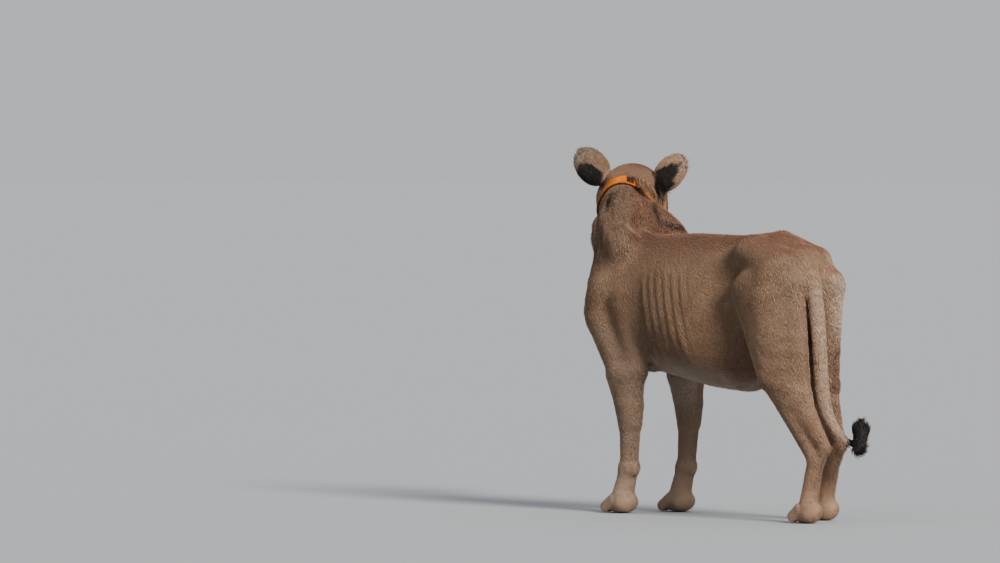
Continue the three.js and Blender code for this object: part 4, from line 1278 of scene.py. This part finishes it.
# name, tuft, spacing, lift and slot of each piece of the coat, in the order of the regions
coatPieces = [
    ("coat_flank_right", "short", 2.8, 0.15, "coat_side"),
    ("coat_flank_left", "short", 2.8, 0.15, "coat_side"),
    ("coat_rump_right", "short", 2.8, 0.15, "coat_back"), ("coat_rump_left", "short", 2.8, 0.15, "coat_back"),
    ("coat_neck_right", "short", 2.6, 0.17, "coat_side"), ("coat_neck_left", "short", 2.6, 0.17, "coat_side"),
    ("coat_head_right", "short", 1.8, 0.14, "coat_side"), ("coat_head_left", "short", 1.8, 0.14, "coat_side"),
    ("coat_forelegs", "short", 2.9, 0.12, "coat_leg"), ("coat_hindleg_left", "short", 2.9, 0.13, "coat_leg"),
    ("coat_hindleg_right", "short", 2.9, 0.13, "coat_leg"), ("coat_ears", "short", 1.8, 0.16, "coat_ear"),
    ("coat_tail", "short", 2.9, 0.13, "coat_back"), ("coat_tail_tuft", "long", 2.6, 0.16, "coat_tuft"),
]


def growCoat():
    group = coatGroup()
    tufts = dict(short=tuftMesh("short_tuft", 1, 0.55), long=tuftMesh("long_tuft", 3, 1.2))
    material = coatFinish()
    total = 0
    for region, (name, tuft, spacing, lift, slot) in enumerate(coatPieces):
        piece = group.made(name, skin.data, Tuft=tufts[tuft], Region=region, Spacing=spacing * mm, Lift=lift,
                           Wildness=0.28, Seed=11 + region, Material=material)
        for spare in ("lie", "up", "cover", "furLength", "furWidth", "raised", "rootMap", "upright", "bare"):
            if spare in piece.data.attributes:
                piece.data.attributes.remove(piece.data.attributes[spare])
        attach(piece, "root")
        triangles = len(piece.data.polygons)
        total += triangles
        print(f"    {name}: {triangles}")
    for tuft in tufts.values():
        bpy.data.objects.remove(tuft)
    say(f"coat of {total} triangles")


skin.data.materials.append(skinFinish())
fleshNodes = [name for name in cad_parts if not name.startswith(("eye", "collar"))]
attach(skin, "root")
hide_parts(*fleshNodes)
growCoat()


# eyeballs with their poles along the gaze; "ring" is the distance from the gaze in millimetres
eyes = dict(pupil=4, iris=9.6, bulge=1.3, turns=40, rows=28, amber=(0.42, 0.2, 0.035), gold=(0.62, 0.4, 0.1),
            rim=(0.05, 0.025, 0.012), white=(0.2, 0.12, 0.085), black=(0.004, 0.004, 0.004))


def eyeFinish():
    look = Look("lioness_eye")
    ring = look.attribute("ring")
    threads = look.noise(520, 3, 0.7)
    inner = ring.above(eyes["pupil"], eyes["iris"])
    colour = look.mix((inner * 0.8 + threads * 0.5).above(0.15, 1.1), eyes["gold"], eyes["amber"])
    colour = look.mix(ring.above(eyes["iris"] - 1.8, eyes["iris"]), colour, eyes["rim"])
    colour = look.mix(ring.above(eyes["iris"] + 0.2, eyes["iris"] + 2.2), colour, eyes["white"])
    colour = look.mix(1 - ring.above(eyes["pupil"] - 0.3, eyes["pupil"] + 0.3), colour, eyes["black"])
    roughness = ring.above(eyes["iris"], eyes["iris"] + 3) * 0.25 + 0.12
    return look.finish(colour, roughness, Coat_Weight=1.0, Coat_Roughness=0.03)


def makeEye(name, side, material):
    gaze, across, up = (headAxes @ way for way in eyeFrame(side))
    centre, ball = onHead(eyeCentre(side)), eyeSize["radius"]
    places, rings = [centre + gaze * (ball + eyes["bulge"])], [0]
    for row in range(1, eyes["rows"]):
        angle = math.pi * row / eyes["rows"]
        radius = ball + eyes["bulge"] * max(0, 1 - (angle / 0.62) ** 2)
        for c, s in circle(eyes["turns"]):
            out = across * c + up * s
            places.append(centre + radius * (gaze * math.cos(angle) + out * math.sin(angle)))
            rings.append(ball * angle)
    places.append(centre - gaze * ball)
    rings.append(ball * math.pi)
    faces = capped(eyes["rows"] - 1, eyes["turns"])
    piece = linked(name + "_ball", closedMesh(name + "_ball", toFrame(places), faces))
    store(piece.data, "ring", rings)
    piece.data.materials.append(material)
    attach(piece, "root")
    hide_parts(name)


eyeMaterial = eyeFinish()
makeEye("eye_left", 1, eyeMaterial)
makeEye("eye_right", -1, eyeMaterial)
say("eyes made")

# whiskers in four rows on each side of the muzzle, swept back
whiskers = dict(rows=(-70, -78, -86, -93), perRow=4, length=50, thick=0.36, steps=7)


def hairShape(start, way, bend, length):
    side = unit(np.cross(way, bend))
    over = np.cross(side, way)
    places = [start - way * 1.5]
    for step in range(whiskers["steps"]):
        t = step / whiskers["steps"]
        middle = start + way * (length * t) + bend * (length * 0.22 * t * t)
        for spin in (0, 2.1, 4.2):
            out = side * math.cos(spin) + over * math.sin(spin)
            places.append(middle + out * whiskers["thick"] * (1 - 0.8 * t))
    return places + [start + way * length + bend * (length * 0.22)]


def makeWhiskers():
    rng = np.random.default_rng(4)
    places, faces = [], []
    for side in (1, -1):
        for number, height in enumerate(whiskers["rows"]):
            for step in range(whiskers["perRow"]):
                root = vec(side * 64, -104 + step * 11 + number * 2, height)
                start = onFace([root])[0]
                way = unit(vec(side * (0.95 - 0.04 * number), 0.02 + 0.07 * step, 0.16 - 0.13 * number)
                           + rng.normal(0, 0.06, 3))
                length = whiskers["length"] * (0.6 + 0.12 * step + rng.uniform(-0.08, 0.08))
                faces += [tuple(len(places) + n for n in face) for face in capped(whiskers["steps"], 3)]
                places += hairShape(start, way, unit(vec(side * 0.1, 1, -0.35)), length)
    look = Look("whisker")
    piece = linked("whiskers", closedMesh("whiskers", toFrame([onHead(place) for place in places]), faces))
    piece.data.materials.append(look.finish(look.noise(300, 2) * 0.2 + 0.9, 0.35))
    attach(piece, "root")


makeWhiskers()
say("whiskers made")

# the strap: places on it are given by the angle from the nape, the height along the axis and
# the distance over the coat
axis = collar["axis"]


def girths(height, steps=144):
    angles = np.arange(steps) / steps * 2 * math.pi
    ways = np.outer(np.cos(angles), napeWay) + np.outer(np.sin(angles), sideWay)
    near, wide = np.full(steps, 40.0), np.full(steps, 200.0)
    for _ in range(16):
        middle = (near + wide) / 2
        places = collar["centre"] + ways * middle[:, None] + axis * height
        inside = skinDistance(places) - depthAt(places) < 0
        near, wide = np.where(inside, middle, near), np.where(inside, wide, middle)
    for _ in range(24):
        near = (np.roll(near, 1) + 2 * near + np.roll(near, -1)) / 4
    return near


strapEdges = [girths(edge * collar["width"] / 2) for edge in (-1, 1)]
strapRadius = (strapEdges[0].mean() + strapEdges[1].mean()) / 2


def strapPlace(angle, height, over):
    share = 0.5 + height / collar["width"]
    turns = np.arange(len(strapEdges[0]) + 1) / len(strapEdges[0]) * 2 * math.pi
    spin = np.mod(angle, 2 * math.pi)
    low, high = (np.interp(spin, turns, np.append(edge, edge[0])) for edge in strapEdges)
    distance = low + (high - low) * share + over
    way = np.multiply.outer(np.cos(angle), napeWay) + np.multiply.outer(np.sin(angle), sideWay)
    return collar["centre"] + way * np.asarray(distance)[..., None] + np.multiply.outer(height, axis)


def onStrap(angle, x, y, z):
    return strapPlace(angle + x / strapRadius, y, z + collar["thickness"] - collar["sink"])


def leatherFinish():
    look = Look("collar_leather")
    blotch = look.noise(34, 5, 0.65)
    grain = look.cells("F1", 760)
    scuffs = look.noise(1, 4, 0.7, (300, 60, 60))
    edge = look.attribute("edge")
    colour = look.mix(blotch.above(0.35, 0.7), collar["leather"], collar["worn"])
    stains = look.noise(110, 4, 0.7).above(0.52, 0.68) * 0.6
    soiled = (scuffs.above(0.5, 0.72) * 0.8 + edge * 0.7 + stains).above(0.1, 1.1)
    colour = look.mix(soiled, colour, collar["grime"])
    height = grain * 0.5 + blotch * 0.6 + scuffs * 0.4
    roughness = 0.62 + blotch * 0.25
    return look.finish(look.stretched(colour, 0.85 + grain * 0.25), roughness, look.bump(height, 0.0007, 0.7),
                       Specular_IOR_Level=0.35)


def makeStrap(material):
    steps = 180
    half, inner, outer = collar["width"] / 2, -collar["sink"], collar["thickness"] - collar["sink"]
    profile = [(-half, inner + 1), (-half, outer - 1.6), (-half + 0.7, outer - 0.4), (-half + 2, outer)]
    profile += [(y, outer + 0.35) for y in (-half + 6, -half / 3, half / 3, half - 6)]
    profile += [(-y, z) for y, z in profile[3::-1]] + [(half - 1.2, inner), (-half + 1.2, inner)]
    angles = np.arange(steps) / steps * 2 * math.pi
    places = np.stack([strapPlace(angles, np.full(steps, y), z) for y, z in profile], 1).reshape(-1, 3)
    faces = [tuple(n % len(places) for n in face) for face in bands(steps + 1, len(profile))]
    piece = linked("collar_band", closedMesh("collar_band", toFrame(places), faces))
    store(piece.data, "edge", np.tile([float(abs(y) > half - 2.5) for y, z in profile], steps))
    piece.data.materials.append(material)
    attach(piece, "root")
    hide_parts("collar_strap")


# sets a small part on every point of a mesh, upright along "out" and turned along "along"
def partsGroup():
    group = Group("partsOnPoints", Points="Geometry", Part="Object", Size="Float", Turning="Float",
                  Seed="Int", Material="Material")
    given = group.given
    out, along = (group.named(name, "FLOAT_VECTOR") for name in ("out", "along"))
    aside = given["Turning"] * group.randomValue(-1.0, 1.0, given["Seed"])
    ahead = group.vector("ADD", along, group.stretched(group.vector("CROSS_PRODUCT", out, along), aside))
    points = group.node("GeometryNodeMeshToPoints", {}, dict(Mesh=given["Points"]))
    group.end(group.instances(points, given["Part"], out, ahead, given["Size"]))
    return group


def strapPoints(name, spots, step=0.5):
    at = np.array([onStrap(angle, x, y, z) for angle, x, y, z in spots])
    out = np.array([onStrap(angle, x, y, z + step) for angle, x, y, z in spots]) - at
    along = np.array([onStrap(angle, x + step, y, z) for angle, x, y, z in spots]) - at
    mesh = meshFrom(name, toFrame(at), [])
    store(mesh, "out", out / step)
    store(mesh, "along", along / step)
    return mesh


def turned(name, profile, turns=16):
    places = [(r * c, r * s, z) for r, z in profile for c, s in circle(turns)]
    ends = [tuple(range(first, first + turns)) for first in (0, (len(profile) - 1) * turns)]
    return linked(name, closedMesh(name, np.array(places) * mm, bands(len(profile), turns) + ends))


# one stitch of thread, bowed up in the middle
stitch = dict(length=4.2, radius=0.75, bow=0.45, sink=0.3, row=15.5, spacing=6.2)


def threadShape(turns=6, rings=5):
    places = [(-stitch["length"] / 2, 0, -0.4)]
    for ring in range(1, rings):
        t = ring / rings
        size, rise = stitch["radius"] * math.sin(math.pi * t) ** 0.5, stitch["bow"] * math.sin(math.pi * t)
        for c, s in circle(turns):
            places.append((stitch["length"] * (t - 0.5), size * c, size * s + rise - stitch["sink"]))
    places.append((stitch["length"] / 2, 0, -0.4))
    return linked("thread", closedMesh("thread", np.array(places) * mm, capped(rings - 1, turns)))


def steelFinish():
    look = Look("collar_steel")
    worn = look.noise(120, 4, 0.7)
    brushed = look.noise(1, 3, 0.6, (900, 60, 900))
    colour = look.mix(worn.above(0.4, 0.65), (0.15, 0.1, 0.07), (0.07, 0.045, 0.03))
    return look.finish(colour, 0.34 + worn * 0.3, look.bump(brushed, 0.0002, 0.4), Metallic=1.0)


def resinFinish():
    look = Look("collar_resin")
    worn = look.noise(42, 5, 0.65)
    grain = look.noise(1400, 2)
    edge = look.attribute("edge")
    colour = look.mix(worn.above(0.42, 0.72), (0.115, 0.06, 0.03), (0.2, 0.12, 0.065))
    colour = look.mix(edge * worn.above(0.3, 0.6) * 0.7, colour, (0.32, 0.2, 0.12))
    return look.finish(colour, 0.5 + worn * 0.22, look.bump(grain * 0.4 + worn, 0.0004, 0.5))


def threadFinish():
    look = Look("collar_thread")
    colour = look.mix(look.noise(200, 3).above(0.35, 0.7), (0.42, 0.25, 0.13), (0.2, 0.1, 0.05))
    return look.finish(colour, 0.8, look.bump(look.noise(2600, 2), 0.0002, 0.6))


radio = dict(angle=math.pi, size=(86, 56, 43), corner=8, steps=22, wrapped=False, seam=9)
clasp = dict(angle=0.44, size=(26, 34, 3), corner=1.2, steps=10, wrapped=True, seam=0)


# a block with rounded corners as a grid pushed out of its middle, laid on the strap
def blockOnStrap(name, material, slot, replaced, angle, size, corner, steps, wrapped, seam):
    def grid(bm):
        bmesh.ops.create_cube(bm, size=2)
        bmesh.ops.subdivide_edges(bm, edges=bm.edges[:], cuts=steps, use_grid_fill=True)

    half = np.array(size) / 2
    mesh = meshFrom(name, [], [])
    edited(mesh, grid)
    raw = points3(mesh)
    core = half - corner
    spread = np.sign(raw) * np.abs(raw) ** 0.8 * half
    inside = np.clip(spread, -core, core)
    out = spread - inside
    length = lengths(out, True)
    p = inside + out / np.maximum(length, 1e-6) * np.minimum(np.abs(out).max(1, keepdims=True), corner)
    edge = (length[:, 0] > 0.1) & (np.sort(np.abs(out), axis=1)[:, 1] > corner * 0.2)
    if seam:
        away = np.exp(-((p[:, 2] - seam) / 0.9) ** 2)
        p[:, :2] -= (np.sign(p[:, :2]) * (np.abs(p[:, :2]) > (half - corner * 0.6)[:2])) * away[:, None] * 1.3
    z = p[:, 2] + half[2]
    bent = onStrap(angle, p[:, 0], p[:, 1], z)
    foot = onStrap(angle, 0.0, 0.0, 0.0)
    ahead = unit(onStrap(angle, 1.0, 0.0, 0.0) - onStrap(angle, -1.0, 0.0, 0.0))
    outward = unit(np.cross(ahead, axis))
    outward *= np.sign(outward @ (foot - collar["centre"]))
    flat = foot + np.outer(p[:, 0], ahead) + np.outer(p[:, 1], axis) + np.outer(z, outward)
    share = np.clip(z / size[2] * 1.6, 0, 1)[:, None] if not wrapped else 0 * z[:, None]
    setPoints(mesh, toFrame(bent + (flat - bent) * share))
    shadeSmooth(mesh)
    store(mesh, "edge", edge.astype(float))
    piece = linked(name, mesh)
    piece.data.materials.append(material)
    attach(piece, "root")
    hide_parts(replaced)


def makeCollar():
    leather, steel, resin = leatherFinish(), steelFinish(), resinFinish()
    makeStrap(leather)
    blockOnStrap("collar_radio", resin, "collar_housing", "collar_housing", **radio)
    blockOnStrap("collar_clasp", steel, "collar_steel", "collar_plate", **clasp)
    group = partsGroup()
    count = int(2 * math.pi * strapRadius / stitch["spacing"])
    angles = [2 * math.pi * n / count for n in range(count)]
    free = [a for a in angles if abs(a - clasp["angle"]) > 0.15 and abs(a - radio["angle"]) > 0.5]
    spots = [(angle, 0, y, 0.3) for y in (-stitch["row"], stitch["row"]) for angle in free]
    thread = threadShape()
    bolt = turned("bolt", [(5, -0.5), (5, 1.4), (4.4, 2.6), (3.1, 3.5), (2.2, 3.7), (2.1, 2.6), (0.6, 2.5)])
    stitches = group.made("collar_stitches", strapPoints("stitches", spots), Part=thread, Size=1.0,
                          Turning=0.1, Seed=3, Material=threadFinish())
    heads = strapPoints("bolts", [(clasp["angle"], 0, y, 2.6) for y in (-9.5, 9.5)])
    bolts = group.made("collar_bolts", heads, Part=bolt, Size=1.0, Turning=1.0, Seed=5, Material=steel)
    for piece, slot in ((stitches, "collar_leather"), (bolts, "collar_steel")):
        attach(piece, "root")
    for spare in (thread, bolt):
        bpy.data.objects.remove(spare)


makeCollar()
say("collar made")

# floor, light and camera
studio = dict(paper=(0.437, 0.458, 0.482), paperLight=(0.441, 0.462, 0.486), floor=900, sky=(0.93, 0.965, 1),
              skyStrength=0.5, sun=3.8, sunWay=(0.11, 0.87, 0.5), sunWidth=0.3, sunColour=(1, 0.93, 0.85))
view = dict(lens=279, sensor=36, farthest=1500, distance=25, height=1.13, yaw=1.4606, pitch=0.8634)


def floorFinish():
    look = Look("studio_floor")
    cloud = look.noise(0.35, 4)
    colour = look.mix(cloud, studio["paper"], studio["paperLight"])
    return look.finish(colour, 0.7 + cloud * 0.15, look.bump(look.noise(160, 3), 0.0004, 0.3))


def makeStudio():
    bpy.ops.mesh.primitive_plane_add(size=studio["floor"])
    ground = bpy.context.object
    ground.name = "studio_floor"
    ground.data.materials.append(floorFinish())
    world = bpy.data.worlds.new("studio")
    bpy.context.scene.world = world
    world.use_nodes = True
    sky = world.node_tree.nodes["Background"]
    sky.inputs["Color"].default_value = (*studio["sky"], 1)
    sky.inputs["Strength"].default_value = studio["skyStrength"]
    sun = bpy.data.lights.new("key", "SUN")
    sun.energy = studio["sun"]
    sun.angle = studio["sunWidth"]
    sun.color = studio["sunColour"]
    linked("key", sun).rotation_euler = (-Vector(studio["sunWay"])).to_track_quat("-Z", "Y").to_euler()
    bpy.context.scene.view_settings.look = "AgX - Medium High Contrast"


def makeCamera():
    yaw, pitch = math.radians(view["yaw"]), math.radians(view["pitch"])
    ahead = -rearLeft * math.cos(yaw) - np.cross((0, 0, 1), rearLeft) * math.sin(yaw)
    right = unit(np.cross(ahead, (0, 0, 1)))
    look = ahead * math.cos(pitch) - vec(0, 0, math.sin(pitch))
    middle = toFrame([0, 0, 0])
    at = vec(middle[0], middle[1], view["height"]) + rearLeft * view["distance"]
    camera = bpy.data.cameras.new("camera")
    camera.lens = view["lens"]
    camera.sensor_width = view["sensor"]
    camera.clip_end = view["farthest"]
    holder = linked("camera", camera)
    placed = np.eye(4)
    placed[:3] = np.stack([right, np.cross(right, look), -look, at], 1)
    holder.matrix_world = Matrix(placed.tolist())
    bpy.context.scene.camera = holder


makeStudio()
makeCamera()
say("studio made")
